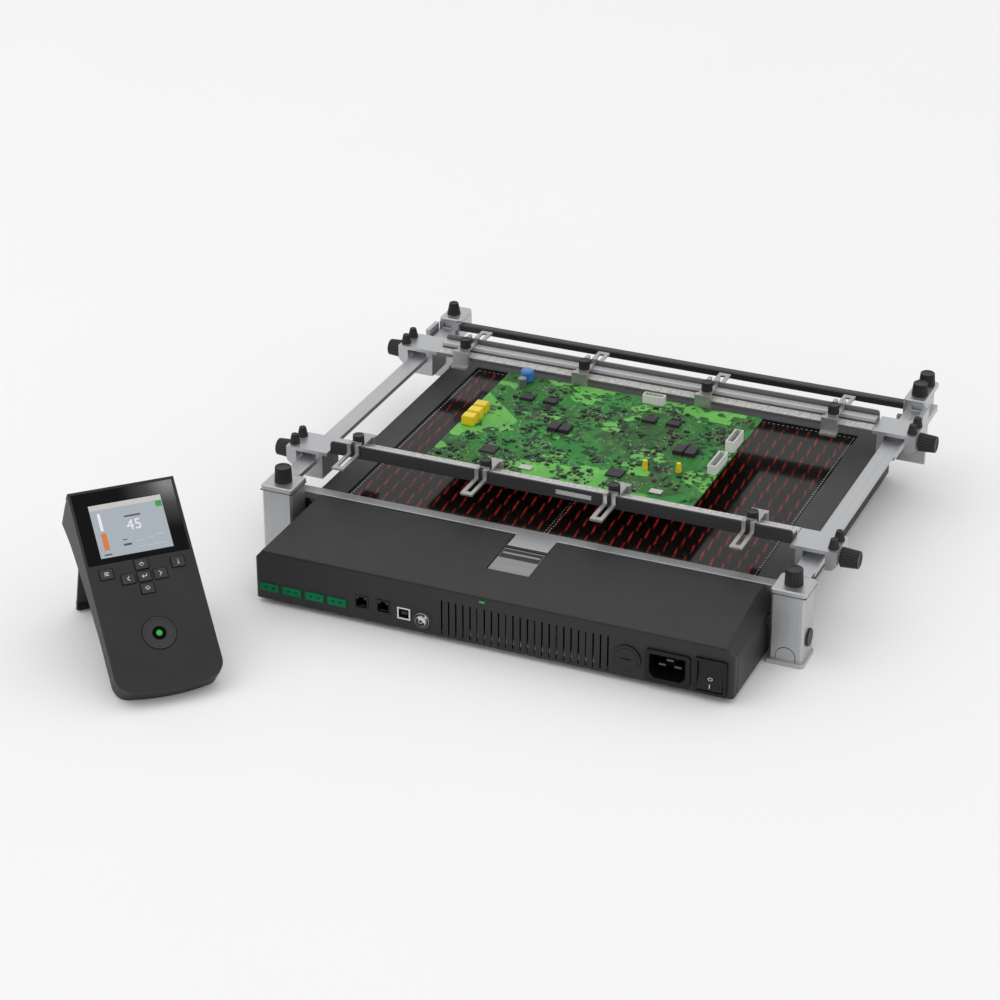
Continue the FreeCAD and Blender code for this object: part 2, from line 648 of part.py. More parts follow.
def switch_frame():
    frame = rounded(box(SWITCH_X - SWITCH_W / 2, SWITCH_X + SWITCH_W / 2, FRONT_Y - 2.2, FRONT_Y,
                        SWITCH_Z - SWITCH_H / 2, SWITCH_Z + SWITCH_H / 2), 2, 1)
    frame = frame.fuse(box(SWITCH_X - SWITCH_W / 2 + 1.7, SWITCH_X + SWITCH_W / 2 - 1.7,
                           FRONT_Y - 0.1, FRONT_Y + BODY_DEPTH,
                           SWITCH_Z - SWITCH_H / 2 + 1.7, SWITCH_Z + SWITCH_H / 2 - 1.7))
    well = box(SWITCH_X - ROCKER_W / 2 - GAP, SWITCH_X + ROCKER_W / 2 + GAP, FRONT_Y - 3,
               FRONT_Y + 9, SWITCH_Z - ROCKER_H / 2 - 1.1, SWITCH_Z + ROCKER_H / 2 + 1.1)
    pin_hole = rod(1.2 + RUN, ROCKER_W + 5, (SWITCH_X - ROCKER_W / 2 - 2.5, FRONT_Y + 4, SWITCH_Z),
                   (1, 0, 0))
    return frame.cut([well, pin_hole])


def power_rocker():
    """Rocker with two flats that meet in a shallow valley, on its own pivot pins."""
    y_mid = FRONT_Y - 0.6
    rise = math.tan(math.radians(ROCKER_TILT)) * ROCKER_H / 2
    x0 = SWITCH_X - ROCKER_W / 2
    low, top = SWITCH_Z - ROCKER_H / 2, SWITCH_Z + ROCKER_H / 2
    side = [(x0, y_mid, SWITCH_Z), (x0, y_mid - rise, top), (x0, y_mid + 3.5, top),
            (x0, FRONT_Y + 6, SWITCH_Z), (x0, y_mid + 3.5, low), (x0, y_mid - rise, low)]
    rocker = prism(side, (ROCKER_W, 0, 0))
    pins = rod(1.2, ROCKER_W + 4, (x0 - 2, FRONT_Y + 4, SWITCH_Z), (1, 0, 0))
    rocker = rocker.fuse(pins)
    rocker.rotate(Vec(SWITCH_X, FRONT_Y + 4, SWITCH_Z), Vec(1, 0, 0), -ROCKER_TILT)
    return rocker


def rubber_feet():
    feet = []
    for x in (-HALF + 22, HALF - 22):
        for y in (FRONT_Y + 24, DECK_BACK - 22):
            feet.append(drum(9.5, FOOT_H, (x, y, 0), (0, 0, 1), 16))
    return feet


def case_screws():
    """Screw heads along the rear edge of the deck, in the side walls and in the brackets."""
    screws = []
    for x in (-HALF + SCREW_INSET, 0, HALF - SCREW_INSET):
        screws.append(drum(2.6, 1.2, (x, DECK_BACK - 9, DECK_Z), (0, 0, 1), 10))
    for side in (-1, 1):
        for y in (ZONE_Y - ZONE_D * 0.2, ZONE_Y + ZONE_D * 0.25):
            screws.append(drum(3, 1.4, (side * HALF, y, SCREW_Z), (side, 0, 0), 10))
        for y in (BRACKET_Y - 8, BRACKET_Y - 22):
            screws.append(drum(3, 1.6, (side * (HALF + POST_GAP), y, TONGUE_LOW + TONGUE_H / 2),
                               (side, 0, 0), 10))
    return screws


# Support frame

def post(side):
    """Front corner post with a foot plate and an arched toe."""
    y0 = POST_Y_FRONT
    x = side * POST_X
    column = box(x - POST_W / 2, x + POST_W / 2, y0, y0 + POST_D, FOOT_PLATE_T, POST_TOP)
    column = eased(column, 1.8, 2)
    arch_r = 8.5
    spring = FOOT_PLATE_T + 3.5
    recess = box(x - arch_r, x + arch_r, y0 - 1, y0 + 1.5, FOOT_PLATE_T - 1, spring)
    recess = recess.fuse(drum(arch_r, 2.5, (x, y0 - 1, spring), (0, 1, 0), 20))
    column = column.cut(recess)
    plate = eased(box(x - POST_W / 2 - 2.5, x + POST_W / 2 + 1.5, y0 - 2.5, y0 + POST_D + 1,
                      0, FOOT_PLATE_T), 2, 2)
    toe_r = arch_r - 0.6
    toe = box(x - toe_r, x + toe_r, y0 - 0.4, y0 + 2, FOOT_PLATE_T - 1, spring)
    toe = toe.fuse(drum(toe_r, 2.4, (x, y0 - 0.4, spring), (0, 1, 0), 20))
    toe = toe.cut(box(x - toe_r - 1, x + toe_r + 1, y0 - 1, y0 + 3, -10, FOOT_PLATE_T - 1))
    return column.fuse([plate, toe])


def sided(side, x0, x1, y0, y1, z0, z1):
    """Box given by its distances from the middle, on the left or right side."""
    a, b = sorted((side * x0, side * x1))
    return box(a, b, y0, y1, z0, z1)


def rear_bracket(side):
    """Folded bracket on the rear of the case: strap, back plate, outer wall, shelf and block."""
    x_in, x_out = HALF + POST_GAP, HALF + POST_GAP + POST_W
    y0, y1 = BRACKET_Y, BRACKET_Y + BRACKET_T
    strap = sided(side, HALF, x_in, y1 - TONGUE_D, y1, TONGUE_LOW, TONGUE_LOW + TONGUE_H)
    plate = sided(side, x_in, x_out, y0, y1, BRACKET_LOW, POST_TOP)
    wall = sided(side, x_out - BRACKET_T, x_out, y1 - BRACKET_WALL_D, y1,
                 REAR_CAP_LOW - BRACKET_WALL_H, REAR_CAP_LOW)
    cap_in = POST_X - REAR_CAP_W / 2
    y2 = REAR_CAP_Y + REAR_CAP_D - 1
    shelf = sided(side, cap_in, x_out, y1 - 0.1, y2, POST_TOP - 6, POST_TOP)
    block = sided(side, cap_in, cap_in + REAR_CAP_W, REAR_CAP_Y + WEB_T + GAP + 1, y2,
                  POST_TOP - 0.1, REAR_CAP_LOW)
    return strap.fuse([plate, wall, shelf, block]).removeSplitter()


def side_hooks():
    """Small hooks on the case walls that the front posts drop over."""
    hooks = []
    y0 = POST_Y_FRONT
    for side in (-1, 1):
        arm = sided(side, HALF, HALF + POST_GAP, y0 + 3, y0 + 8, HOOK_Z, HOOK_Z + 8)
        hooks.append(arm.fuse(sided(side, HALF, HALF + POST_GAP, y0 + 3, y0 + 11,
                                    HOOK_Z + 5, HOOK_Z + 8)))
    return hooks


def post_discs():
    """Round locking discs low on the outer faces of the front posts."""
    discs = []
    for side in (-1, 1):
        face = side * (POST_X + POST_W / 2)
        disc = drum(SIDE_DISC_D / 2, SIDE_DISC_T, (face, POST_FRONT_MID, SIDE_DISC_Z),
                    (side, 0, 0), 16)
        discs.append(disc)
    return discs


def cap_plate(x, width, y0, y1, z0):
    """Cap with eased corners and a bevelled upper edge."""
    z1 = z0 + RAIL_T
    cap = eased(box(x - width / 2, x + width / 2, y0, y1, z0, z1), 1.6, 2)
    return cap.makeChamfer(0.8, [e for e in cap.Edges if min(v.Z for v in e.Vertexes) > z1 - 0.01])


def side_rail(side):
    """Flat side rail butted against a wide cap on the front post and a raised cap at the rear."""
    x = side * POST_X
    front_end = POST_Y_FRONT + POST_D + 0.8
    front_cap = cap_plate(x, CAP_W, POST_Y_FRONT - 0.8, front_end, POST_TOP)
    bar = box(x - RAIL_W / 2, x + RAIL_W / 2, front_end, REAR_CAP_Y, POST_TOP, RAIL_TOP)
    riser = box(x - REAR_CAP_W / 2, x + REAR_CAP_W / 2, REAR_CAP_Y, REAR_CAP_Y + WEB_T + 1,
                POST_TOP, REAR_CAP_LOW + 1)
    window = centred(x + side * 2, REAR_CAP_Y + 1, RAIL_TOP + 0.8, REAR_CAP_W * 0.42,
                     2 * WEB_T + 4, REAR_RISE - RAIL_T - 2)
    extra = REAR_CAP_EXTRA if side > 0 else 0
    rear_cap = cap_plate(x, REAR_CAP_W, REAR_CAP_Y, REAR_CAP_Y + REAR_CAP_D + extra, REAR_CAP_LOW)
    return [front_cap, bar, riser.cut(window).fuse(rear_cap).removeSplitter()]


def post_knobs():
    """Fluted thumb nuts on the four caps, and a second one behind the right rear nut."""
    places = []
    for side in (-1, 1):
        places.append((side * POST_X, POST_FRONT_MID, RAIL_TOP))
        places.append((side * (POST_X + 1), REAR_CAP_Y + POST_D / 2, REAR_CAP_LOW + RAIL_T))
    places.append((POST_X + 1, REAR_CAP_Y + REAR_CAP_D + REAR_CAP_EXTRA - POST_KNOB_D / 2 - 1,
                   REAR_CAP_LOW + RAIL_T))
    knobs = []
    for x, y, z in places:
        knob = fluted(POST_KNOB_D, POST_KNOB_H, ribs=RIBS)
        knob.translate(Vec(x, y, z))
        knobs.append(knob)
    return knobs


def front_strip():
    """Front cross member between the posts, with the tab that reaches into the cover."""
    y0 = POST_Y_FRONT + POST_D + SEAT
    reach = POST_X - POST_W / 2 + 10
    strip = box(-reach, reach, y0, y0 + STRIP_D, DECK_Z, DECK_Z + STRIP_H)
    strip = strip.cut(box(-reach + 1.5, reach - 1.5, y0 + 1.5, y0 + STRIP_D - 1.5,
                          DECK_Z - 1, DECK_Z + STRIP_H - 1.5))
    tab = box(CATCH_X - CATCH_W / 2, CATCH_X + CATCH_W / 2, COVER_BACK - TAB_REACH, y0 + 1,
              DECK_Z + STRIP_H - SHEET, DECK_Z + STRIP_H)
    return strip.fuse(tab)


def strip_blocks():
    """Plastic blocks that carry the ends of the front strip behind the posts."""
    blocks = []
    y0 = POST_Y_FRONT + POST_D
    for side in (-1, 1):
        x0, x1 = sorted((side * (HALF + 1), side * (POST_X - POST_W / 2 + 10)))
        blocks.append(box(x0, x1, y0, COVER_BACK + STRIP_D, DECK_Z - 16, DECK_Z))
    return blocks


def rear_crossbar():
    """Dark bar between the blocks of the two rear brackets."""
    y0 = REAR_CAP_Y + WEB_T + 2
    reach = POST_X - REAR_CAP_W / 2
    z1 = POST_TOP + BAR_RISE
    return eased(box(-reach, reach, y0, y0 + BAR_D, z1 - BAR_H, z1), 1.0, 0)


# Cross rails, built for the front and mirrored for the rear

def rail_frame(rear):
    """Outward direction and the board side edge of one cross rail."""
    return (1, RAIL_INNER_REAR) if rear else (-1, RAIL_INNER_FRONT)


def span(rear, near, far):
    """Y range of something that lies from near to far behind the rail's inner edge."""
    out, inner = rail_frame(rear)
    return sorted((inner + out * near, inner + out * far))


def cross_rail(rear):
    """Extruded rail: ruler ledge, raised bar and upright outer plate with round corners."""
    floor_z = RULER_Z - RULER_T
    web_low = RULER_Z - WEB_DROP
    y0, y1 = span(rear, 0, RULER_W + STEP_GAP + 1)
    rail = box(-RAIL_REACH, RAIL_REACH, y0, y1, floor_z, RULER_Z)
    y0, y1 = span(rear, RULER_W, RULER_W + STEP_GAP)
    rail = rail.cut(box(-RAIL_REACH - 1, RAIL_REACH + 1, y0, y1, RULER_Z - 1.2, RULER_Z + 1))
    y0, y1 = span(rear, RULER_W + STEP_GAP, RULER_W + STEP_GAP + STEP_W)
    rail = rail.fuse(box(-RAIL_REACH, RAIL_REACH, y0, y1, floor_z, STEP_TOP))
    y0, y1 = span(rear, RULER_W + STEP_GAP + STEP_W - 1, RAIL_DEPTH)
    rail = rail.fuse(box(-RAIL_REACH, RAIL_REACH, y0, y1, floor_z, RULER_Z - 0.5))
    y0, y1 = span(rear, RAIL_DEPTH - WEB_T, RAIL_DEPTH)
    web = box(-RAIL_REACH, RAIL_REACH, y0, y1, web_low - 1, WEB_TOP)
    corners = [e for e in edges_along(web, 1) if e.Vertexes[0].Z > WEB_TOP - 0.01]
    web = web.makeFillet(3, corners)
    return rail.fuse(web).removeSplitter()


def carriage(side, rear):
    """Bent bracket that saddles the side rail: top plate, outer wall with a sloped foot,
    inner cheek and a keeper under the rail."""
    y0, y1 = span(rear, 0, CARRIAGE_L)
    reach = RAIL_REACH + 0.1
    x_in = RAIL_IN - GAP
    wall_in = CARRIAGE_OUT - CARRIAGE_WALL
    outer = [(CARRIAGE_OUT, CARRIAGE_TOP), (reach, CARRIAGE_TOP), (reach, CARRIAGE_UNDER),
             (x_in - CHEEK_T, CARRIAGE_UNDER), (x_in - CHEEK_T, CARRIAGE_LOW),
             (RAIL_OUT - 4, CARRIAGE_LOW), (RAIL_OUT - 4, POST_TOP - GAP), (x_in, POST_TOP - GAP),
             (x_in, CARRIAGE_UNDER), (wall_in, CARRIAGE_UNDER), (wall_in, POST_TOP - 4),
             (CARRIAGE_OUT - 4, POST_TOP - 4), (CARRIAGE_OUT, POST_TOP)]
    body = prism([(side * x, y0, z) for x, z in outer], (0, y1 - y0, 0))
    bore = rod(SIDE_SCREW_D / 2 + RUN, CARRIAGE_WALL + 2,
               (side * (wall_in - 1), (y0 + y1) / 2, RAIL_TOP - RAIL_T / 2), (side, 0, 0))
    return body.cut(bore)


def carriage_pair(rear):
    return [carriage(side, rear) for side in (-1, 1)]


def side_knob(side, rear):
    """Clamp knob at the end of a carriage, with the screw that bears on the side rail."""
    y0, y1 = span(rear, 0, CARRIAGE_L)
    y = (y0 + y1) / 2
    z = RAIL_TOP - RAIL_T / 2
    knob = fluted(SIDE_KNOB_D, SIDE_KNOB_L, 0.82, RIBS)
    knob.rotate(Vec(0, 0, 0), Vec(0, 1, 0), 90 * side)
    knob.translate(Vec(side * (CARRIAGE_OUT + GAP), y, z))
    tip = RAIL_OUT + GAP
    screw = rod(SIDE_SCREW_D / 2, CARRIAGE_OUT + GAP + 1 - tip, (side * tip, y, z), (side, 0, 0))
    return knob.fuse(screw)


def carriage_thumbs(rear):
    """Small thumb screws on top of the carriages, two on each."""
    thumbs = []
    y0, y1 = span(rear, 0, CARRIAGE_L)
    for side in (-1, 1):
        for y in (y0 + THUMB_INSET, y1 - THUMB_INSET):
            thumb = fluted(THUMB_D, THUMB_H)
            thumb.translate(Vec(side * (CARRIAGE_OUT - CARRIAGE_WALL / 2), y, CARRIAGE_TOP))
            thumbs.append(thumb)
    return thumbs


def clip(x, rear):
    """Board clip: strap folded over the rail with a slotted tail and a stepped jaw, and its knob."""
    def block(width, near, far, z0, z1):
        y0, y1 = span(rear, near, far)
        return box(x - width / 2, x + width / 2, y0, y1, z0, z1)

    strap_z = STEP_TOP + GAP
    hop_z = WEB_TOP + GAP
    web_in = RAIL_DEPTH - WEB_T - GAP
    web_out = RAIL_DEPTH + GAP
    end = RAIL_DEPTH + CLIP_TAIL
    under = BOARD_TOP - BOARD_T
    strap = block(CLIP_W, -2.0, web_in, strap_z, strap_z + CLIP_T)
    rise = block(CLIP_W, web_in - CLIP_T, web_in, strap_z, hop_z + CLIP_T)
    hop = block(CLIP_W, web_in - CLIP_T, web_out + CLIP_T, hop_z, hop_z + CLIP_T)
    drop = block(CLIP_W, web_out, web_out + CLIP_T, RULER_Z, hop_z + CLIP_T)
    tail = block(CLIP_W, web_out, end, RULER_Z, RULER_Z + CLIP_T)
    slot = block(CLIP_SLOT, web_out + CLIP_T + 2, end - 5, RULER_Z - 1, RULER_Z + CLIP_T + 1)
    neck = block(JAW_W, BOARD_CLEAR - JAW_D, -GAP, under - 3, strap_z + CLIP_T)
    ledge = block(JAW_W, -JAW_D - JAW_LIP, BOARD_CLEAR - JAW_D + 1, under - 3, under - GAP)
    out, inner = rail_frame(rear)
    knob = fluted(CLIP_KNOB_D, CLIP_KNOB_H, 0.95)
    knob.translate(Vec(x, inner + out * (RULER_W / 2 + 1), strap_z + CLIP_T))
    body = strap.fuse([rise, hop, drop, tail, neck, ledge]).cut(slot).removeSplitter()
    return [body, knob]


# Board being worked on

def circuit_board():
    x0, x1 = BOARD_X - BOARD_W / 2, BOARD_X + BOARD_W / 2
    board = box(x0, x1, BOARD_Y0, BOARD_Y1, BOARD_TOP - BOARD_T, BOARD_TOP)
    board = eased(board, 2, 2)
    inset = BOARD_HOLE_INSET
    holes = [drum(BOARD_HOLE_D / 2, 4, (x, y, BOARD_TOP - 3), (0, 0, 1), 10)
             for x in (x0 + inset, x1 - inset) for y in (BOARD_Y0 + inset, BOARD_Y1 - inset)]
    return board.cut(holes)


def board_components():
    """Chips, connectors and capacitors that stand on the board."""
    depth = BOARD_Y1 - BOARD_Y0

    def on_board(across, back):
        return BOARD_X + (across - 0.5) * BOARD_W, BOARD_Y0 + back * depth
    pieces = []
    for across, back, w, d, h in BOARD_BLOCKS:
        x, y = on_board(across, back)
        pieces.append(centred(x, y, BOARD_TOP, w, d, h))
    for across, back, d, h in BOARD_CANS:
        x, y = on_board(across, back)
        pieces.append(drum(d / 2, h, (x, y, BOARD_TOP), (0, 0, 1), 16))
    return pieces


# Hand console, drawn lying on its back: X across, Y up the face, Z out of the face

def stand_up(shape):
    """Tilt a console piece, turn it and put it on the bench."""
    shape.rotate(Vec(0, 0, 0), Vec(1, 0, 0), CON_TILT)
    shape.rotate(Vec(0, 0, 0), Vec(0, 0, 1), CON_YAW)
    shape.translate(Vec(CON_X, CON_Y, CON_Z))
    return shape


def console_outline(inset, z, height):
    """Rounded tablet outline with a bowed lower end."""
    w = CON_W / 2 - inset
    bow = 5.0
    r = CON_CORNER
    top = CON_L - inset
    low = inset + bow
    lower = Part.Arc(Vec(-w + r, low - bow * 0.6, z), Vec(0, inset - 2.0, z),
                     Vec(w - r, low - bow * 0.6, z)).toShape()
    right = Part.Arc(Vec(w - r, low - bow * 0.6, z), Vec(w - r * 0.3, low + r * 0.2, z),
                     Vec(w, low + r, z)).toShape()
    left = Part.Arc(Vec(-w, low + r, z), Vec(-w + r * 0.3, low + r * 0.2, z),
                    Vec(-w + r, low - bow * 0.6, z)).toShape()
    sides = [Part.makeLine(Vec(w, low + r, z), Vec(w, top, z)),
             Part.makeLine(Vec(w, top, z), Vec(-w, top, z)),
             Part.makeLine(Vec(-w, top, z), Vec(-w, low + r, z))]
    wire = Part.Wire(Part.sortEdges([lower, right, left] + sides)[0])
    return Part.Face(wire).extrude(Vec(0, 0, height))


def key_pocket(x, y, grow, depth):
    return box(x - KEY_W / 2 - grow, x + KEY_W / 2 + grow, y - KEY_H / 2 - grow,
               y + KEY_H / 2 + grow, -depth, 1)


def console_front():
    """Front shell: hollow moulding with pockets for the screen, the keys and the start button."""
    shell = console_outline(0, -CON_SPLIT, CON_SPLIT)
    shell = shell.cut(console_outline(2.0, -CON_SPLIT - 1, CON_SPLIT - 2.4))
    cuts = [key_pocket(x, y, GAP, 5) for x, y in KEYS.values()]
    cuts.append(drum(START_D / 2 + GAP, 6, (0, START_Y, -5), (0, 0, 1), 32))
    cuts.append(box(-CON_W / 2 + 2.5, CON_W / 2 - 2.5, SCREEN_FROM, CON_L - 2.5, -SCREEN_T, 1))
    cuts.append(box(-31, 31, SCREEN_FROM + 4, CON_L - 12, -5, 1))
    return shell.cut(cuts)


def console_screen():
    """Glossy screen window with the display module behind it."""
    window = box(-CON_W / 2 + 2.6, CON_W / 2 - 2.6, SCREEN_FROM + 0.1, CON_L - 2.6, -SCREEN_T, 0.1)
    module = box(-30.6, 30.6, SCREEN_FROM + 4.4, CON_L - 12.4, -5.6, -SCREEN_T)
    return window.fuse(module)


def console_back():
    """Back shell with the bulge at the top and the ears of the stand's hinge."""
    shell = console_outline(0.6, -CON_T, CON_T - CON_SPLIT - SEAT)
    shell = shell.cut(console_outline(2.6, -CON_T + 2, CON_T))
    pin_z = -CON_T - STAND_BARREL_D / 2 - 0.8
    pin_r = STAND_PIN_D / 2
    for side in (-1, 1):
        x0 = side * (STAND_W / 2 + GAP)
        x1 = side * (STAND_W / 2 + GAP + 5)
        a, b = sorted((x0, x1))
        ear = box(a, b, STAND_Y - 8, STAND_Y + 8, pin_z, -CON_T + 0.5)
        ear = ear.fuse(rod(STAND_BARREL_D / 2, b - a, (a, STAND_Y, pin_z), (1, 0, 0)))
        shell = shell.fuse(ear)
    pin = rod(pin_r, STAND_W + 2 * GAP + 10, (-STAND_W / 2 - GAP - 5, STAND_Y, pin_z), (1, 0, 0))
    return shell.fuse(pin)


def kickstand():
    """Flat prop with a barrel round the hinge pin and a rounded rubber edge."""
    pin_z = -CON_T - STAND_BARREL_D / 2 - 0.8
    barrel = rod(STAND_BARREL_D / 2, STAND_W, (-STAND_W / 2, 0, 0), (1, 0, 0))
    leaf = box(-STAND_W / 2, STAND_W / 2, -STAND_L + 2, 0, -STAND_T / 2, STAND_T / 2)
    edge = drum(2.6, STAND_W, (-STAND_W / 2, -STAND_L + 2.6, 0), (1, 0, 0), 12)
    bore = rod(STAND_PIN_D / 2 + RUN, STAND_W + 2, (-STAND_W / 2 - 1, 0, 0), (1, 0, 0))
    leaf = leaf.fuse([barrel, edge]).cut(bore)
    leaf.rotate(Vec(0, 0, 0), Vec(1, 0, 0), STAND_OPEN)
    leaf.translate(Vec(0, STAND_Y, pin_z))
    return leaf


def key(x, y):
    """Keycap with a domed edge and a skirt that keeps it in its pocket."""
    cap = box(x - KEY_W / 2, x + KEY_W / 2, y - KEY_H / 2, y + KEY_H / 2, -2.4, KEY_PROUD)
    upper = [e for e in cap.Edges if min(v.Z for v in e.Vertexes) > KEY_PROUD - 0.01]
    return cap.makeChamfer(0.5, upper)


def start_button():
    """Large round button with a shallow dish round the light in its middle."""
    button = drum(START_D / 2, 4.4, (0, START_Y, -4.0), (0, 0, 1), 32)
    dish = drum(START_D / 2 - 1.6, 1.2, (0, START_Y, -0.3), (0, 0, 1), 32)
    well = drum(3.2, 1.2, (0, START_Y, -1.0), (0, 0, 1), 12)
    return button.cut([dish, well])


def on_bench(shape):
    """Trim what would reach below the bench."""
    return shape.cut(box(-900, 900, -900, 900, -60, 0))


def all_nodes():
    nodes = {
        "lower_case": lower_case().fuse(side_hooks()),
        "front_panel": front_panel(),
        "front_cover": front_cover(),
        "catch_plate": catch_plate(),
        "deck_bezel": deck_bezel(),
        "ceramic_glass": ceramic_glass(),
        "reflector_pan": reflector_pan(),
        "insulation_board": insulation_board(),
        "tube_holders": tube_holders(),
        "heater_tubes": heater_tubes(),
        "control_board": control_board(),
        "heat_sink": heat_sink(),
        "thermocouple_sockets": thermocouple_sockets(),
        "data_sockets": data_sockets() + [pedal_jack()],
        "status_light": status_light(),
        "fuse_holder": fuse_holder(),
        "fuse_cap": fuse_cap(),
        "mains_inlet": mains_inlet(),
        "switch_frame": switch_frame(),
        "power_rocker": power_rocker(),
        "rubber_feet": rubber_feet(),
        "case_screws": case_screws(),
        "corner_posts": [post(-1), post(1), rear_bracket(-1), rear_bracket(1)],
        "side_rails": side_rail(-1) + side_rail(1),
        "post_knobs": post_knobs() + post_discs(),
        "front_strip": front_strip(),
        "strip_blocks": strip_blocks(),
        "rear_crossbar": rear_crossbar(),
        "circuit_board": circuit_board(),
        "board_components": board_components(),
    }
    for rear, name in ((False, "front"), (True, "rear")):
        nodes[name + "_rail"] = cross_rail(rear)
        nodes[name + "_carriages"] = carriage_pair(rear)
        nodes[name + "_thumb_screws"] = carriage_thumbs(rear)
        for side, hand in ((-1, "left"), (1, "right")):
            nodes[name + "_" + hand + "_knob"] = side_knob(side, rear)
        for i, share in enumerate(CLIPS_REAR if rear else CLIPS_FRONT):
            nodes[name + "_clip_" + str(i + 1)] = clip(share * HALF, rear)
    nodes["console_front"] = on_bench(stand_up(console_front()))
    nodes["console_back"] = on_bench(stand_up(console_back()))
    nodes["console_screen"] = stand_up(console_screen())
    nodes["kickstand"] = on_bench(stand_up(kickstand()))
    nodes["start_button"] = stand_up(start_button())
    for name, (x, y) in KEYS.items():
        nodes[name] = stand_up(key(x, y))
    return nodes


def solids_of(made):
    shapes = made if isinstance(made, list) else [made]
    return [solid for shape in shapes for solid in shape.Solids]


def centre_of_footprint(nodes):
    whole = FreeCAD.BoundBox()
    for made in nodes.values():
        for solid in solids_of(made):
            whole.add(solid.optimalBoundingBox(False))
    return whole


def main():
    os.makedirs("parts", exist_ok=True)
    nodes = all_nodes()
    whole = centre_of_footprint(nodes)
    shift = Vec(-(whole.XMin + whole.XMax) / 2, -(whole.YMin + whole.YMax) / 2, 0)
    print("shift", [round(v, 4) for v in shift], "box", round(whole.XLength, 2),
          round(whole.YLength, 2), round(whole.ZLength, 2))
    for name, made in nodes.items():
        solids = solids_of(made)
        for solid in solids:
            solid.translate(shift)
        shape = solids[0] if len(solids) == 1 else Part.makeCompound(solids)
        shape.exportStep("parts/" + name + ".step")
    print("nodes", len(nodes))


main()
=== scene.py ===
import json
import math
import random
from functools import partialmethod

import bmesh
import bpy
from bpy.props import FloatProperty, FloatVectorProperty, IntProperty, StringProperty
from mathutils import Matrix, Vector


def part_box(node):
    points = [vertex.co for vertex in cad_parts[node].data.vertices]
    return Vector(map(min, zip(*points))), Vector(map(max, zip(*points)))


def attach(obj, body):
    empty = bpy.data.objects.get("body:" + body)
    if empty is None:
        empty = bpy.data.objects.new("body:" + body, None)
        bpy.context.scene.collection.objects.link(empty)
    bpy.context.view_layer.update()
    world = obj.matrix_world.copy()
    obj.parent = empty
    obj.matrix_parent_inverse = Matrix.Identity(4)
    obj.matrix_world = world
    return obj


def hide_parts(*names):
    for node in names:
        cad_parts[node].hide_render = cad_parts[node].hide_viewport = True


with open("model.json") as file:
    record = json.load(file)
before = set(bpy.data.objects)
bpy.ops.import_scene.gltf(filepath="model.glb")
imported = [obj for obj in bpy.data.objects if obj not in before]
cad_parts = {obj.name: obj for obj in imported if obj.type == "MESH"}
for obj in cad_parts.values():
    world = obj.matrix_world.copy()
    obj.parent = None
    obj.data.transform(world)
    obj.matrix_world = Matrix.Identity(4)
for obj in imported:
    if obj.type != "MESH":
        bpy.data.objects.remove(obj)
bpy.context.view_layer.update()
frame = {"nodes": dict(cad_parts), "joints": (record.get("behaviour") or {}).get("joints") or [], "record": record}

bl_info = {
    "name": "Circuit board preheater",
    "version": (1, 0, 0),
    "blender": (4, 5, 0),
    "location": "View3D > Sidebar > Preheater",
    "description": "Dresses the packed preheater: case, heated deck, board frame, board and console",
    "category": "Object",
}

MM = 0.001
NODES = frame["nodes"]
BODY_OF = {node: body for body, members in frame["record"]["behaviour"]["bodies"].items()
           for node in members}
JOINTS = {joint["name"]: joint for joint in frame["joints"]}

# Places read from the frame. The glass lies centred across the case.
GLASS_LOW, GLASS_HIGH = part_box("ceramic_glass")
ZONE_SHIFT_Y = 14.0         # middle of the heated zone, behind the case's own zero
ZONE_X, ZONE_Y = 181.0, 140.0       # from its middle to the lines of printed dots
ORIGIN = Vector(((GLASS_LOW.x + GLASS_HIGH.x) / 2,
                 (GLASS_LOW.y + GLASS_HIGH.y) / 2 - ZONE_SHIFT_Y * MM, 0.0))
HINGE_UP = 150.0            # the stand's hinge, up the console's back and behind its face
HINGE_BEHIND = 26.0
STAND_OPEN = math.radians(72.7)
FOOT_REACH = 94.0           # from the hinge to the middle of the stand's foot bar

# Camera of the photograph, in millimetres from the case's zero on the bench
CAMERA_SPOT = (787.8, -2050.4, 1160.5)
CAMERA_PITCH = 27.454
CAMERA_YAW = 23.27
CAMERA_LENS = 102.55

# Parts on the board: millimetres from the case's zero, then width, depth and height
CHIPS = ((-50, 18, 9, 14, 4.4), (-39.5, 18, 9, 14, 4.4), (-95, 64, 12, 9, 3.3),
         (-73, 65, 12, 9, 3.3), (-86, -42, 14, 14, 2.0), (66, 18, 9, 14, 4.4),
         (76.5, 18, 9, 14, 4.4), (21, 64, 12, 9, 3.3), (43, 65, 12, 9, 3.3), (30, -42, 14, 14, 2.0))
FILM_BLOCKS = ((-122.5, -1), (-122.5, 12), (-122.5, 25))
HEADERS = ((11.5, 101, 20, 7, 8.5, 0), (105, 4, 30, 8, 8.5, 90), (105, 47.5, 26, 8, 10.5, 90))
BEADS = ((50, -24), (78, -18))
MODULES = ((-43.7, -61.8), (73.3, -60.1))
BOARD_TOP = 71.0
HALF_PITCH = 116.0          # the same circuit is printed twice, side by side
PIN_PITCH = 2.54
PIN_LENGTH = 7
TROUGH_FLOOR = 2.5
SMALL_X, SMALL_Y = (-128, 98), (-70, 106)       # where small parts may stand

# The slot walls of the louvres between these are painted dark as shade.
LOUVRES = (-66, 104)        # from and to, across the front panel
DISC_BELOW = 40.0           # the solids of post_knobs under this height are the side discs
GRIP_LENGTH = 15.0          # side clamp knobs

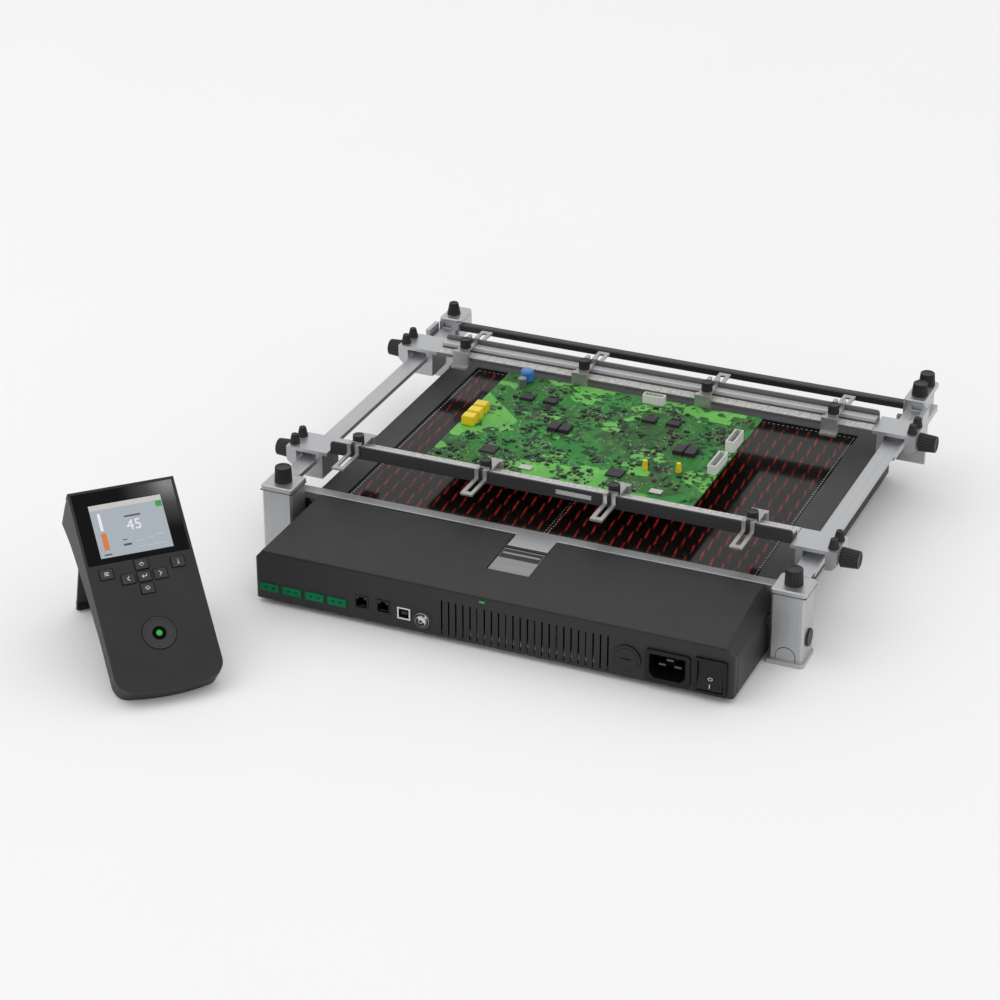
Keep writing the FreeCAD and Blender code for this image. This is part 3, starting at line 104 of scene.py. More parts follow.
# Bars on the cross rails: name, finish, shortening of each end, near and far side from the
# rail's inner side, bottom and top above the bench, rounding and its segments
RAIL_BARS = (("_ruler", "ruler", 0.3, 0.2, 11.3, 75.3, 75.85, 0.12, 1),
             ("_bar_cap", "light_bar", 0.2, 12.9, 21.1, 76.5, 80.2, 0.6, 3))
CLIP_KNOB = 6.75            # middle of a clip's knob in CAD, from the rail's inner side
FRONT_CLIP_SEAT = 15.0      # where the photograph has the front knobs
CLIP_KNOB_HEIGHT = 10.0     # of the node's own knob, which is cut off

# Keys on the console's face: middle across and up, then the strokes of the mark on each
KEYS = {
    "menu_key": (-29.0, 101.0, ((-1.6, 1.2, 1.6, 1.2), (-1.6, 0, 1.6, 0), (-1.6, -1.2, 1.6, -1.2))),
    "up_key": (0.0, 104.4, ((-1.8, -0.4, 0, 1.4), (0, 1.4, 1.8, -0.4), (-0.7, -1.3, 0.7, -1.3))),
    "left_key": (-13.0, 94.0, ((0.8, 1.7, -0.9, 0), (-0.9, 0, 0.8, -1.7))),
    "enter_key": (0.0, 94.0, ((1.8, 1.6, 1.8, -0.2), (1.8, -0.2, -1.9, -0.2),
                              (-1.9, -0.2, -0.9, 0.8), (-1.9, -0.2, -0.9, -1.2))),
    "right_key": (13.0, 94.0, ((-0.8, 1.7, 0.9, 0), (0.9, 0, -0.8, -1.7))),
    "down_key": (0.0, 83.6, ((-1.8, 0.4, 0, -1.4), (0, -1.4, 1.8, 0.4), (-0.7, 1.3, 0.7, 1.3))),
    "info_key": (29.0, 101.0, ((0, -1.7, 0, 0.6), (0, 1.7, 0, 1.75), (-0.6, -1.7, 0.6, -1.7))),
}
KEY_TOP = 1.1
BUTTON_UP = 45.6            # middle of the start button, up the face

# The console's cheeks: up the face, and how far behind it their rear edge lies there
HOOD_SECTIONS = ((14, -16), (93, -26), (128, -34), (146, -39), (169.5, -50.6), (173.2, -14))
SHELL_BACK = -10.3          # where the cheeks leave the back shell


def tone(red, green, blue):
    """Colour written as it is seen on screen, 0 to 255, made linear."""
    def linear(value):
        share = value / 255
        return share / 12.92 if share <= 0.04045 else ((share + 0.055) / 1.055) ** 2.4
    return (linear(red), linear(green), linear(blue), 1.0)


def colour_setting(name, description, shade):
    return FloatVectorProperty(name=name, description=description, subtype="COLOR", size=3,
                               min=0.0, max=1.0, default=tone(*shade)[:3])


def number_setting(name, description, default, low, high, kind=FloatProperty, **more):
    return kind(name=name, description=description, default=default, min=low, max=high, **more)


class PreheaterSettings(bpy.types.PropertyGroup):
    """Sizes and colours that a user would change before building the looks."""
    panel_colour: colour_setting("Panel", "Powder coat of the front panel and the case",
                                 (35, 35, 36))
    cover_colour: colour_setting("Cover", "Powder coat of the sloped cover", (38, 38, 39))
    bezel_colour: colour_setting("Bezel", "Powder coat of the deck round the glass", (58, 58, 59))
    silver_colour: colour_setting("Silver", "Anodised posts, rails and carriages", (188, 189, 191))
    knob_colour: colour_setting("Knobs", "Moulded knobs", (30, 30, 32))
    console_colour: colour_setting("Console", "Shell of the hand console", (39, 39, 41))
    board_colour: colour_setting("Board", "Dark areas of the solder mask", (14, 98, 40))
    pour_colour: colour_setting("Copper areas", "Light areas of the solder mask", (104, 182, 84))
    glow_colour: colour_setting("Glow", "Heating coils seen through the glass", (132, 30, 22))
    floor_colour: colour_setting("Floor", "Floor and backdrop", (243, 243, 243))
    tube_pitch: number_setting("Tube pitch", "Distance between heating tubes, mm", 10.9, 6.0, 30.0)
    slash_period: number_setting("Slash period", "Length of one coil slash, mm", 21.0, 5.0, 60.0)
    dot_pitch: number_setting("Dot pitch", "Distance between printed dots, mm", 4.4, 2.0, 12.0)
    edge: number_setting("Edge", "Rounding of sheet metal edges", 0.4 * MM, 0.05 * MM, 1.0 * MM,
                         precision=5, unit="LENGTH")
    knob_ribs: number_setting("Knob ribs", "Ribs round a large knob", 18, 8, 40, IntProperty)
    small_parts: number_setting("Small parts", "Small parts in each board cluster", 46, 0, 80,
                                IntProperty)
    reading: StringProperty(name="Reading", description="Number shown on the console",
                            default="45")
    world_light: number_setting("Soft light", "Strength of the even light", 0.97, 0.0, 3.0)
    key_light: number_setting("Key light", "Power of the key lamp, watts", 9.0, 0.0, 500.0)


def spot(x, y, z):
    """Point given in millimetres from the case's own zero, in the row frame."""
    return ORIGIN + Vector((x, y, z)) * MM


def console_frame():
    """Frame of the console's face: across, up the face and out of it, from its lower edge."""
    across = -Vector(JOINTS["kickstand_fold"]["axis"]).normalized()
    out = -Vector(JOINTS["start_button_press"]["axis"]).normalized()
    up = out.cross(across).normalized()
    hinge = Vector(JOINTS["kickstand_fold"]["pos_m"])
    foot = hinge - up * HINGE_UP * MM + out * HINGE_BEHIND * MM
    return Matrix.Translation(foot) @ Matrix((across, up, out)).transposed().to_4x4()


FACE = console_frame()


# Tools for modelling

def start_clean():
    if bpy.context.object is not None and bpy.context.object.mode != "OBJECT":
        bpy.ops.object.mode_set(mode="OBJECT")
    bpy.ops.object.select_all(action="DESELECT")


def make_active(piece):
    start_clean()
    piece.select_set(True)
    bpy.context.view_layer.objects.active = piece


def moved(x, y, z):
    """Shift in millimetres."""
    return Matrix.Translation(Vector((x, y, z)) * MM)


def facing(direction):
    """Turn that lays a piece's own Z along a direction."""
    return Vector(direction).to_track_quat("Z", "Y").to_matrix().to_4x4()


def middle_of(box):
    return (box[0] + box[1]) / 2


def upward(middle, normal):
    return normal.z > 0.9


def settle(piece, name):
    piece.name = name
    make_active(piece)
    bpy.ops.object.transform_apply(location=True, rotation=True, scale=True)
    return piece


def add_block(name, low, high):
    start_clean()
    low, high = Vector(low), Vector(high)
    bpy.ops.mesh.primitive_cube_add(size=1, location=(low + high) / 2)
    bpy.context.object.scale = high - low
    return settle(bpy.context.object, name)


def small_block(name, low, high, edge, segments=1):
    """Block with rounded edges, all in millimetres."""
    block = add_block(name, Vector(low) * MM, Vector(high) * MM)
    soften(block, edge, segments)
    return block


def add_round(name, radius, low, high, sides=48, top_radius=None):
    """Cylinder or cone from one point to another. The radii are in millimetres."""
    start_clean()
    low, high = Vector(low), Vector(high)
    along = high - low
    top = radius if top_radius is None else top_radius
    bpy.ops.mesh.primitive_cone_add(vertices=sides, radius1=radius * MM, radius2=top * MM,
                                    depth=along.length, location=(low + high) / 2)
    bpy.context.object.rotation_euler = along.to_track_quat("Z", "Y").to_euler()
    return settle(bpy.context.object, name)


def pick_faces(piece, test):
    """Goes into edit mode with only the faces selected whose middle and normal pass."""
    make_active(piece)
    bpy.ops.object.mode_set(mode="EDIT")
    bpy.ops.mesh.select_mode(type="FACE")
    bpy.ops.mesh.select_all(action="DESELECT")
    mesh = bmesh.from_edit_mesh(piece.data)
    for face in mesh.faces:
        face.select_set(bool(test(face.calc_center_median(), face.normal)))
    mesh.select_flush_mode()
    bmesh.update_edit_mesh(piece.data)


def leave_edit():
    bpy.ops.object.mode_set(mode="OBJECT")


def inset(thickness, depth=0.0, **more):
    """Insets the picked faces, in millimetres."""
    bpy.ops.mesh.inset(thickness=thickness * MM, depth=depth * MM, **more)


def soften(piece, width, segments=2, limit=35):
    """Rounds the sharp edges by a width in mm and keeps the flat faces evenly shaded."""
    make_active(piece)
    edge = piece.modifiers.new("edge", "BEVEL")
    edge.width = width * MM
    edge.segments = segments
    edge.limit_method = "ANGLE"
    edge.angle_limit = math.radians(limit)
    edge.use_clamp_overlap = True
    bpy.ops.object.modifier_apply(modifier=edge.name)
    bpy.ops.object.shade_smooth_by_angle(angle=math.radians(limit))
    even = piece.modifiers.new("even", "WEIGHTED_NORMAL")
    even.keep_sharp = True
    bpy.ops.object.modifier_apply(modifier=even.name)


def join(name, parts):
    start_clean()
    for part in parts:
        part.select_set(True)
    bpy.context.view_layer.objects.active = parts[0]
    if len(parts) > 1:
        bpy.ops.object.join()
    whole = bpy.context.object
    whole.name = name
    return whole


def placed(piece, name, matrix):
    """Copy with its own mesh, put in place within the mesh."""
    twin = bpy.data.objects.new(name, piece.data.copy())
    twin.data.transform(matrix)
    bpy.context.scene.collection.objects.link(twin)
    return twin


def turned_copy(piece, name, direction, at):
    """Copy of a piece that stands on zero, laid along another direction at a point."""
    return placed(piece, name, Matrix.Translation(Vector(at)) @ facing(direction))


def discard(*pieces):
    for piece in pieces:
        bpy.data.objects.remove(piece, do_unlink=True)


def finished(piece, body, coat, slot, *nodes):
    """Gives a piece its finish and its body, and hides the nodes that it stands for."""
    piece.data.materials.clear()
    piece.data.materials.append(finish(coat))
    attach(piece, body)
    if nodes:
        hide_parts(*nodes)
    return piece


def paint(piece, coat, test):
    """Puts another finish on the faces whose middle and normal pass."""
    piece.data.materials.append(finish(coat))
    index = len(piece.data.materials) - 1
    for face in piece.data.polygons:
        if test(face.center, face.normal):
            face.material_index = index


def copied_node(node):
    """Copy of a CAD node with its triangles merged into whole faces."""
    piece = bpy.data.objects.new(node + "_shell", NODES[node].data.copy())
    bpy.context.scene.collection.objects.link(piece)
    make_active(piece)
    bpy.ops.object.mode_set(mode="EDIT")
    bpy.ops.mesh.select_all(action="SELECT")
    bpy.ops.mesh.remove_doubles(threshold=0.00001)
    bpy.ops.mesh.dissolve_limited(angle_limit=math.radians(1))
    leave_edit()
    return piece


def softened_node(node, width, coat, slot, segments=2):
    piece = copied_node(node)
    soften(piece, width, segments)
    return finished(piece, BODY_OF[node], coat, slot, node)


def soften_nodes(width, *rows):
    """Rows of a node, its share of the width in mm, its finish, its slot and its segments."""
    for node, share, *rest in rows:
        softened_node(node, width * share, *rest)


def dress(node, coat):
    """Gives a CAD node that stays in view its finish."""
    part = NODES[node]
    part.data.materials.clear()
    part.data.materials.append(finish(coat))


def facing_spot(node, test):
    """Middle and normal of the flat area of a CAD node whose triangles pass."""
    middle, normal, area = Vector(), Vector(), 0.0
    for face in NODES[node].data.polygons:
        if test(face.center, face.normal):
            middle += face.center * face.area
            normal += face.normal * face.area
            area += face.area
    if area == 0.0:
        raise RuntimeError("no such face on " + node)
    return middle / area, normal.normalized()


# Finishes

class Recipe:
    """Short way to write a material's nodes."""

    def __init__(self, name):
        self.material = bpy.data.materials.new(name)
        self.material.use_nodes = True
        self.tree = self.material.node_tree
        self.shader = self.tree.nodes["Principled BSDF"]
        self.place = self.tree.nodes.new("ShaderNodeTexCoord").outputs["Object"]

    def feed(self, target, value):
        if isinstance(value, bpy.types.NodeSocket):
            self.tree.links.new(value, target)
        else:
            target.default_value = value

    def node(self, kind, inputs, **values):
        made = self.tree.nodes.new(kind)
        for key, value in values.items():
            setattr(made, key, value)
        for key, value in inputs.items():
            self.feed(made.inputs[key], value)
        return made

    def set(self, **values):
        for key, value in values.items():
            self.feed(self.shader.inputs[key.replace("_", " ")], value)

    def stretched(self, scale=(1, 1, 1), turn=(0, 0, 0)):
        return self.node("ShaderNodeMapping", {"Scale": scale, "Rotation": turn,
                                               "Vector": self.place}).outputs["Vector"]

    def noise(self, scale, detail=3.0, vector=None):
        return self.node("ShaderNodeTexNoise", {"Scale": scale, "Detail": detail,
                                                "Vector": vector or self.place}).outputs["Fac"]

    def cells(self, scale, channel, vector=None):
        """One channel of the random colours of square cells."""
        cell = self.node("ShaderNodeTexVoronoi", {"Scale": scale, "Vector": vector or self.place},
                         distance="CHEBYCHEV")
        return self.node("ShaderNodeSeparateColor", {0: cell.outputs["Color"]}).outputs[channel]

    def ramp(self, value, *stops):
        made = self.node("ShaderNodeValToRGB", {"Fac": value})
        band = made.color_ramp
        while len(band.elements) < len(stops):
            band.elements.new(0.5)
        for element, (position, colour) in zip(band.elements, stops):
            element.position = position
            element.color = colour
        return made.outputs["Color"]

    def spread(self, value, low, high, from_low=0.0, from_high=1.0):
        return self.node("ShaderNodeMapRange", {
            "Value": value, "From Min": from_low, "From Max": from_high,
            "To Min": low, "To Max": high}).outputs["Result"]

    def calc(self, kind, first, second=0.0):
        return self.node("ShaderNodeMath", {0: first, 1: second}, operation=kind).outputs[0]

    plus = partialmethod(calc, "ADD")
    minus = partialmethod(calc, "SUBTRACT")
    over = partialmethod(calc, "DIVIDE")
    above = partialmethod(calc, "GREATER_THAN")
    below = partialmethod(calc, "LESS_THAN")
    most = partialmethod(calc, "MAXIMUM")
    size = partialmethod(calc, "ABSOLUTE")
    fraction = partialmethod(calc, "FRACT")

    def times(self, *values):
        total = values[0]
        for value in values[1:]:
            total = self.calc("MULTIPLY", total, value)
        return total

    def blend(self, share, first, second):
        return self.node("ShaderNodeMix", {"Factor": share, 6: first, 7: second},
                         data_type="RGBA").outputs[2]

    def from_zero(self):
        """Millimetres from the case's own zero, across and back."""
        made = self.node("ShaderNodeSeparateXYZ", {0: self.place})
        return [self.times(self.minus(made.outputs[i], ORIGIN[i]), 1000.0) for i in (0, 1)]

    def bump(self, height, strength, distance=0.0002):
        made = self.node("ShaderNodeBump", {"Height": height, "Strength": strength,
                                            "Distance": distance})
        self.set(Normal=made.outputs["Normal"])

    def between(self, value, low, high):
        """1 where the value lies between two limits, 0 elsewhere."""
        return self.times(self.above(value, low), self.below(value, high))

    def near(self, value, centre, reach):
        return self.below(self.size(self.minus(value, centre)), reach)

    def repeated(self, value, period, share):
        """1 over the first share of every period, 0 over the rest."""
        return self.below(self.fraction(self.over(value, period)), share)


def shaded(colour, factor):
    return tuple(min(1.0, c * factor) for c in colour[:3]) + (1.0,)


def powder_coat(name, colour, rough, grain, streak=0.08):
    mat = Recipe(name)
    mat.set(Base_Color=mat.ramp(mat.noise(9, 4), (0.35, shaded(colour, 1 - streak)),
                                (0.65, shaded(colour, 1 + streak))),
            Roughness=mat.spread(mat.noise(60, 2), rough - 0.06, rough + 0.06),
            Specular_IOR_Level=0.35)
    mat.bump(mat.noise(2600, 2), grain)
    return mat.material


def brushed_metal(name, colour, rough, along, contrast=0.06, metallic=0.85):
    mat = Recipe(name)
    scale = {"X": (8, 900, 900), "Y": (900, 8, 900), "Z": (900, 900, 8)}[along]
    lines = mat.noise(1.0, 3, mat.stretched(scale))
    mixed = mat.plus(mat.times(lines, 0.12), mat.times(mat.noise(14, 4), 0.10))
    mat.set(Base_Color=mat.ramp(lines, (0.3, shaded(colour, 1 - contrast)),
                                (0.7, shaded(colour, 1 + contrast))),
            Metallic=metallic, Roughness=mat.plus(mixed, rough - 0.11))
    mat.bump(lines, 0.06, 0.0001)
    return mat.material


def moulded(name, colour, rough, grain, coat=0.0, shine=0.4):
    mat = Recipe(name)
    mat.set(Base_Color=mat.ramp(mat.noise(25, 3), (0.35, shaded(colour, 0.9)),
                                (0.65, shaded(colour, 1.1))),
            Roughness=mat.spread(mat.noise(180, 2), rough - 0.05, rough + 0.05),
            Coat_Weight=coat, Coat_Roughness=0.08, Specular_IOR_Level=shine)
    mat.bump(mat.noise(3200, 2), grain)
    return mat.material


def lit(name, colour, strength):
    mat = Recipe(name)
    mat.set(Base_Color=mat.blend(mat.noise(300, 2), shaded(colour, 0.5), shaded(colour, 0.4)),
            Emission_Color=colour, Emission_Strength=strength, Roughness=0.3)
    return mat.material


def glowing_glass(options):
    """Dark ceramic glass: slanting coil slashes glow through it, dots mark the heated area."""
    mat = Recipe("ceramic_glass_glow")
    x, y = mat.from_zero()
    row = mat.plus(mat.over(x, options.tube_pitch), 0.5)
    off = mat.minus(mat.fraction(row), 0.5)
    slip = mat.times(mat.fraction(mat.times(mat.calc("FLOOR", row), 0.37)), options.slash_period)
    wobble = mat.times(mat.minus(mat.noise(26, 2), 0.5), 12.0)
    along = mat.plus(mat.plus(y, slip), wobble)
    dash = mat.minus(mat.fraction(mat.over(along, options.slash_period)), 0.5)
    lean = mat.minus(off, mat.times(dash, -0.22))
    wire = mat.spread(mat.size(lean), 1.0, 0.0, 0.01, 0.12)
    ends = mat.spread(mat.size(dash), 1.0, 0.18, 0.22, 0.5)
    flicker = mat.spread(mat.noise(190, 3), 0.1, 1.2, 0.3, 0.68)
    inside = mat.times(mat.between(x, -178.0, 178.0), mat.between(y, -123.0, 151.0))
    # Printed dots: a frame round the heated area and a double line down its middle
    edge_x = mat.near(mat.size(x), ZONE_X, 0.45)
    from_middle = mat.size(mat.minus(y, ZONE_SHIFT_Y))
    step_x = mat.repeated(x, options.dot_pitch, 0.4)
    step_y = mat.repeated(y, options.dot_pitch, 0.4)
    double = mat.most(mat.near(x, -3.1, 0.4), mat.near(x, -0.2, 0.4))
    upright = mat.times(mat.most(edge_x, double), step_y, mat.below(from_middle, ZONE_Y + 0.6))
    level = mat.times(mat.near(from_middle, ZONE_Y, 0.45), step_x,
                      mat.between(x, -ZONE_X - 0.6, ZONE_X + 0.6))
    haze = mat.ramp(mat.noise(7, 2), (0.3, tone(17, 14, 14)), (0.7, tone(24, 21, 21)))
    mat.set(Base_Color=mat.blend(mat.most(upright, level), haze, tone(168, 168, 168)),
            Emission_Color=(*options.glow_colour, 1.0),
            Emission_Strength=mat.times(wire, ends, flicker, inside),
            Roughness=mat.spread(mat.noise(40, 2), 0.08, 0.13), Specular_IOR_Level=0.16)
    return mat.material


def ruler_metal(options):
    """Speckled satin ledge with faint graduation marks."""
    mat = Recipe("ruler_ledge")
    x = mat.from_zero()[0]
    marks = mat.most(mat.times(mat.repeated(x, 2.0, 0.3), 0.25),
                     mat.times(mat.repeated(x, 10.0, 0.07), 0.7))
    speck = mat.noise(520, 3)
    bright = mat.ramp(speck, (0.4, tone(176, 173, 170)), (0.6, tone(206, 204, 202)))
    mat.set(Base_Color=mat.blend(marks, bright, tone(128, 126, 124)), Metallic=0.2, Roughness=0.5)
    mat.bump(speck, 0.25)
    return mat.material


def solder_mask(options):
    """Green board: light copper areas, fine parallel tracks, dark prints and bright pads."""
    mat = Recipe("solder_mask")
    dark = (*options.board_colour, 1.0)
    light = (*options.pour_colour, 1.0)
    turned = mat.stretched(turn=(0, 0, math.radians(45)))
    slanted = mat.cells(28, 1, turned)
    pour = mat.times(mat.most(mat.above(mat.cells(34, 0), 0.80), mat.above(slanted, 0.84)),
                     mat.above(mat.cells(110, 2), 0.16))
    ground = mat.ramp(mat.noise(16, 3), (0.42, shaded(dark, 0.55)), (0.58, shaded(dark, 1.25)))
    crowded = mat.times(mat.below(slanted, 0.30), mat.above(mat.cells(190, 1), 0.35))
    ground = mat.blend(crowded, ground, tone(28, 44, 34))
    base = mat.blend(pour, ground, mat.ramp(mat.noise(40, 2), (0.4, shaded(light, 0.8)),
                                            (0.6, light)))
    busy = mat.above(mat.noise(20, 1), 0.5)
    for vector, width, row in ((mat.place, 2.6, 0.34), (turned, 3.2, 0.4)):
        tracks = mat.node("ShaderNodeTexBrick", {
            "Scale": 210.0, "Mortar Size": 0.05, "Brick Width": width, "Row Height": row,
            "Vector": vector})
        lines = mat.times(tracks.outputs["Fac"], busy, 0.75)
        base = mat.blend(lines, base, shaded(light, 0.9))
        busy = mat.minus(1.0, busy)
    prints = mat.times(mat.above(mat.cells(260, 0), 0.62), mat.above(mat.noise(24, 1), 0.48), 0.85)
    base = mat.blend(prints, base, tone(26, 44, 34))
    rounds = mat.node("ShaderNodeTexVoronoi", {"Scale": 430, "Vector": mat.place})
    pads = mat.times(mat.below(rounds.outputs["Distance"], 0.17), mat.above(mat.noise(38, 1), 0.5))
    mat.set(Base_Color=mat.blend(pads, base, tone(206, 204, 160)), Roughness=0.5,
            Specular_IOR_Level=0.12)
    mat.bump(pads, 0.3, 0.0001)
    return mat.material


def screen_glass(options):
    """Black gloss with a painted highlight: a pale gleam painted into its colour at its upper right corner."""
    mat = Recipe("screen_gloss")
    dust = mat.noise(90, 3)
    # Painted highlight: the colour lightens towards the face's upper right corner, standing in for a reflection.
    corner = mat.node("ShaderNodeVectorMath", {0: mat.place, 1: FACE @ (Vector((38, 170, 0)) * MM)},
                      operation="DISTANCE")
    gleam = mat.ramp(corner.outputs["Value"], (0.004, tone(132, 132, 132)),
                     (0.018, tone(70, 70, 71)), (0.040, tone(9, 9, 11)))
    mat.set(Base_Color=mat.blend(mat.times(dust, 0.1), gleam, tone(30, 30, 33)),
            Roughness=mat.spread(dust, 0.10, 0.16), Specular_IOR_Level=0.08)
    return mat.material


def bright_metal(name, colour, *values):
    """Brushed metal a little lighter than its colour."""
    return brushed_metal(name, shaded(colour, 1.05), *values)


# Maker, name and colour, as a setting or as seen on screen. Then for powder coats and mouldings
# roughness and grain, and for mouldings coat and shine; for metals roughness, direction,
# contrast and metallic share; for lit surfaces strength. The first four take the settings alone.
FINISH_TABLE = {
    "glass": (glowing_glass,),
    "ruler": (ruler_metal,),
    "mask": (solder_mask,),
    "screen": (screen_glass,),
    "panel": (powder_coat, "panel_coat", "panel_colour", 0.46, 0.35),
    "cover": (powder_coat, "cover_coat", "cover_colour", 0.5, 0.5),
    "bezel": (powder_coat, "bezel_coat", "bezel_colour", 0.55, 0.4),
    "silver_x": (brushed_metal, "anodised_across", "silver_colour", 0.38, "X"),
    "silver_y": (brushed_metal, "anodised_lengthways", "silver_colour", 0.38, "Y"),
    "silver_z": (brushed_metal, "anodised_upright", "silver_colour", 0.40, "Z"),
    "light_bar": (bright_metal, "light_bar", "silver_colour", 0.42, "X", 0.05, 0.6),
    "dark_bar": (brushed_metal, "dark_anodised", (62, 62, 64), 0.42, "X", 0.12, 0.5),
    "steel": (brushed_metal, "clip_steel", (170, 169, 168), 0.34, "Y", 0.16, 0.7),
    # Painted shade: the rear rail's silver aluminium, drawn in the mid grey it shows in shade.
    "rear_bar_shade": (brushed_metal, "shaded_bar", (112, 112, 114), 0.42, "X", 0.08, 0.5),
    "screw": (brushed_metal, "screw_steel", (96, 96, 98), 0.35, "Z", 0.1, 1.0),
    "bright": (brushed_metal, "bright_plate", (214, 214, 214), 0.25, "X", 0.05, 0.9),
    "satin": (brushed_metal, "satin_plate", (150, 150, 150), 0.35, "X", 0.10, 0.8),
    "brass": (brushed_metal, "pin_brass", (206, 178, 112), 0.28, "Y", 0.06, 1.0),
    "can": (brushed_metal, "can_top", (150, 150, 154), 0.35, "Z"),
    "tin": (brushed_metal, "tinned_lead", (196, 196, 192), 0.3, "X", 0.06, 0.9),
    "reflector": (brushed_metal, "reflector_sheet", (210, 210, 212), 0.2, "Y"),
    "knob": (moulded, "knob_plastic", "knob_colour", 0.42, 0.3),
    "black": (moulded, "black_plastic", (22, 22, 24), 0.38, 0.2),
    "pitch": (moulded, "pitch_black", (5, 5, 5), 0.6, 0.05, 0.0, 0.05),
    "gloss_black": (moulded, "gloss_black", (16, 16, 17), 0.3, 0.05, 0.05, 0.25),
    "rubber": (moulded, "foot_rubber", (24, 24, 24), 0.8, 0.6, 0.0, 0.2),
    "tc_green": (moulded, "socket_green", (8, 102, 64), 0.5, 0.2, 0.0, 0.12),
    "chip": (moulded, "chip_resin", (34, 30, 36), 0.5, 0.35),
    "chip_grey": (moulded, "chip_grey", (104, 104, 108), 0.5, 0.3),
    "tan": (moulded, "part_ceramic", (150, 132, 104), 0.5, 0.3),
    "white": (moulded, "connector_white", (208, 208, 204), 0.45, 0.2),
    "yellow": (moulded, "film_yellow", (224, 196, 20), 0.3, 0.1, 0.3),
    "blue": (moulded, "sleeve_blue", (48, 112, 176), 0.3, 0.1, 0.3),
    "console": (moulded, "console_shell", "console_colour", 0.5, 0.5, 0.0, 0.3),
    "key": (moulded, "key_cap", (44, 45, 47), 0.42, 0.25),
    "glyph": (moulded, "glyph_white", (216, 216, 216), 0.5, 0.1),
    "fibre": (moulded, "insulation_fibre", (206, 198, 182), 0.9, 0.9),
    "led": (lit, "green_led", (34, 164, 50), 0.6),
    "tube": (lit, "quartz_tube", (190, 54, 28), 0.4),
    "lcd": (lit, "lcd_ground", (158, 166, 174), 0.62),
    "lcd_bar": (lit, "lcd_bar", (190, 188, 184), 0.6),
    "lcd_dark": (lit, "lcd_dark", (62, 68, 80), 0.6),
    "lcd_orange": (lit, "lcd_orange", (196, 108, 48), 0.7),
    "lcd_white": (lit, "lcd_white", (214, 216, 220), 0.7),
    "lcd_green": (lit, "lcd_green", (48, 146, 60), 0.6),
}
FINISHES = {}


def finish(name):
    """Makes each finish once, when a piece first asks for it."""
    if name not in FINISHES:
        options = bpy.context.scene.preheater
        maker, *values = FINISH_TABLE[name]
        if values:
            title, shade, *rest = values
            colour = (*getattr(options, shade), 1.0) if isinstance(shade, str) else tone(*shade)
            FINISHES[name] = maker(title, colour, *rest)
        else:
            FINISHES[name] = maker(options)
    return FINISHES[name]


# Shared pieces

def knob_blank(name, radius, height, ribs, neck):
    """Ribbed knob in mm on its own zero: ribs pressed in, rim rounded, dished top."""
    knob = add_round(name, radius, (0, 0, 0), (0, 0, height * MM), 2 * ribs, radius * neck)
    pick_faces(knob, lambda middle, normal: abs(normal.z) < 0.5
               and int(round(math.atan2(middle.y, middle.x) / math.pi * ribs - 0.5)) % 2 == 0)
    inset(radius * 0.02, -radius * 0.09, use_individual=True)
    leave_edit()
    pick_faces(knob, lambda middle, normal: normal.z > 0.9 and middle.z > height * 0.9 * MM)
    inset(radius * 0.14)
    inset(radius * 0.08, -height * 0.06)
    leave_edit()
    soften(knob, radius * 0.035, 1, 40)
    return knob


def chip_blank(name, width, depth, height, edge):
    """Low block in mm on its own zero, with a stepped, bevelled top."""
    chip = add_block(name, Vector((-width, -depth, 0)) / 2 * MM,
                     Vector((width / 2, depth / 2, height)) * MM)
    pick_faces(chip, upward)
    inset(min(width, depth) * 0.08, height * 0.04)
    leave_edit()
    soften(chip, edge, 1)
    return chip


def node_pieces(node):
    """Boxes of the separate solids of a CAD node, found from its loose parts."""
    mesh = NODES[node].data
    group = list(range(len(mesh.vertices)))

    def root(index):
        while group[index] != index:
            group[index] = group[group[index]]
            index = group[index]
        return index

    seen = {}
    for index, vertex in enumerate(mesh.vertices):
        key = tuple(round(c, 6) for c in vertex.co)
        if key in seen:
            group[root(index)] = root(seen[key])
        else:
            seen[key] = index
    for edge in mesh.edges:
        first, second = edge.vertices
        group[root(first)] = root(second)
    boxes = {}
    for index, vertex in enumerate(mesh.vertices):
        low, high = boxes.setdefault(root(index), (vertex.co.copy(), vertex.co.copy()))
        for i in range(3):
            low[i] = min(low[i], vertex.co[i])
            high[i] = max(high[i], vertex.co[i])
    return sorted(boxes.values(), key=lambda b: (round(b[0].x, 4), round(b[0].y, 4), round(b[0].z, 4)))


# Case and deck

def make_case(options):
    edge = options.edge / MM
    softened_node("lower_case", edge, "panel", "panel_black")
    panel = softened_node("front_panel", edge * 0.8, "panel", "panel_black")
    left, right = (spot(x, 0, 0).x for x in LOUVRES)
    # Painted shade: the side walls of the louvre slots are painted gloss black so that the slots read dark.
    paint(panel, "gloss_black", lambda middle, normal:
          left < middle.x < right and abs(normal.x) > 0.9)
    soften_nodes(edge, ("front_cover", 1, "cover", "cover_grey"),
                 ("catch_plate", 0.7, "satin", "cover_grey"),
                 ("deck_bezel", 1, "bezel", "bezel_grey"))
    make_catch_band()
    soften_nodes(edge, ("case_screws", 0.5, "screw", "screw_steel"),
                 ("rubber_feet", 1, "rubber", "rubber_black"))
    for node, coat in (("insulation_board", "fibre"), ("reflector_pan", "reflector"),
                       ("tube_holders", "steel"), ("heater_tubes", "tube"),
                       ("control_board", "mask"), ("heat_sink", "silver_z")):
        dress(node, coat)


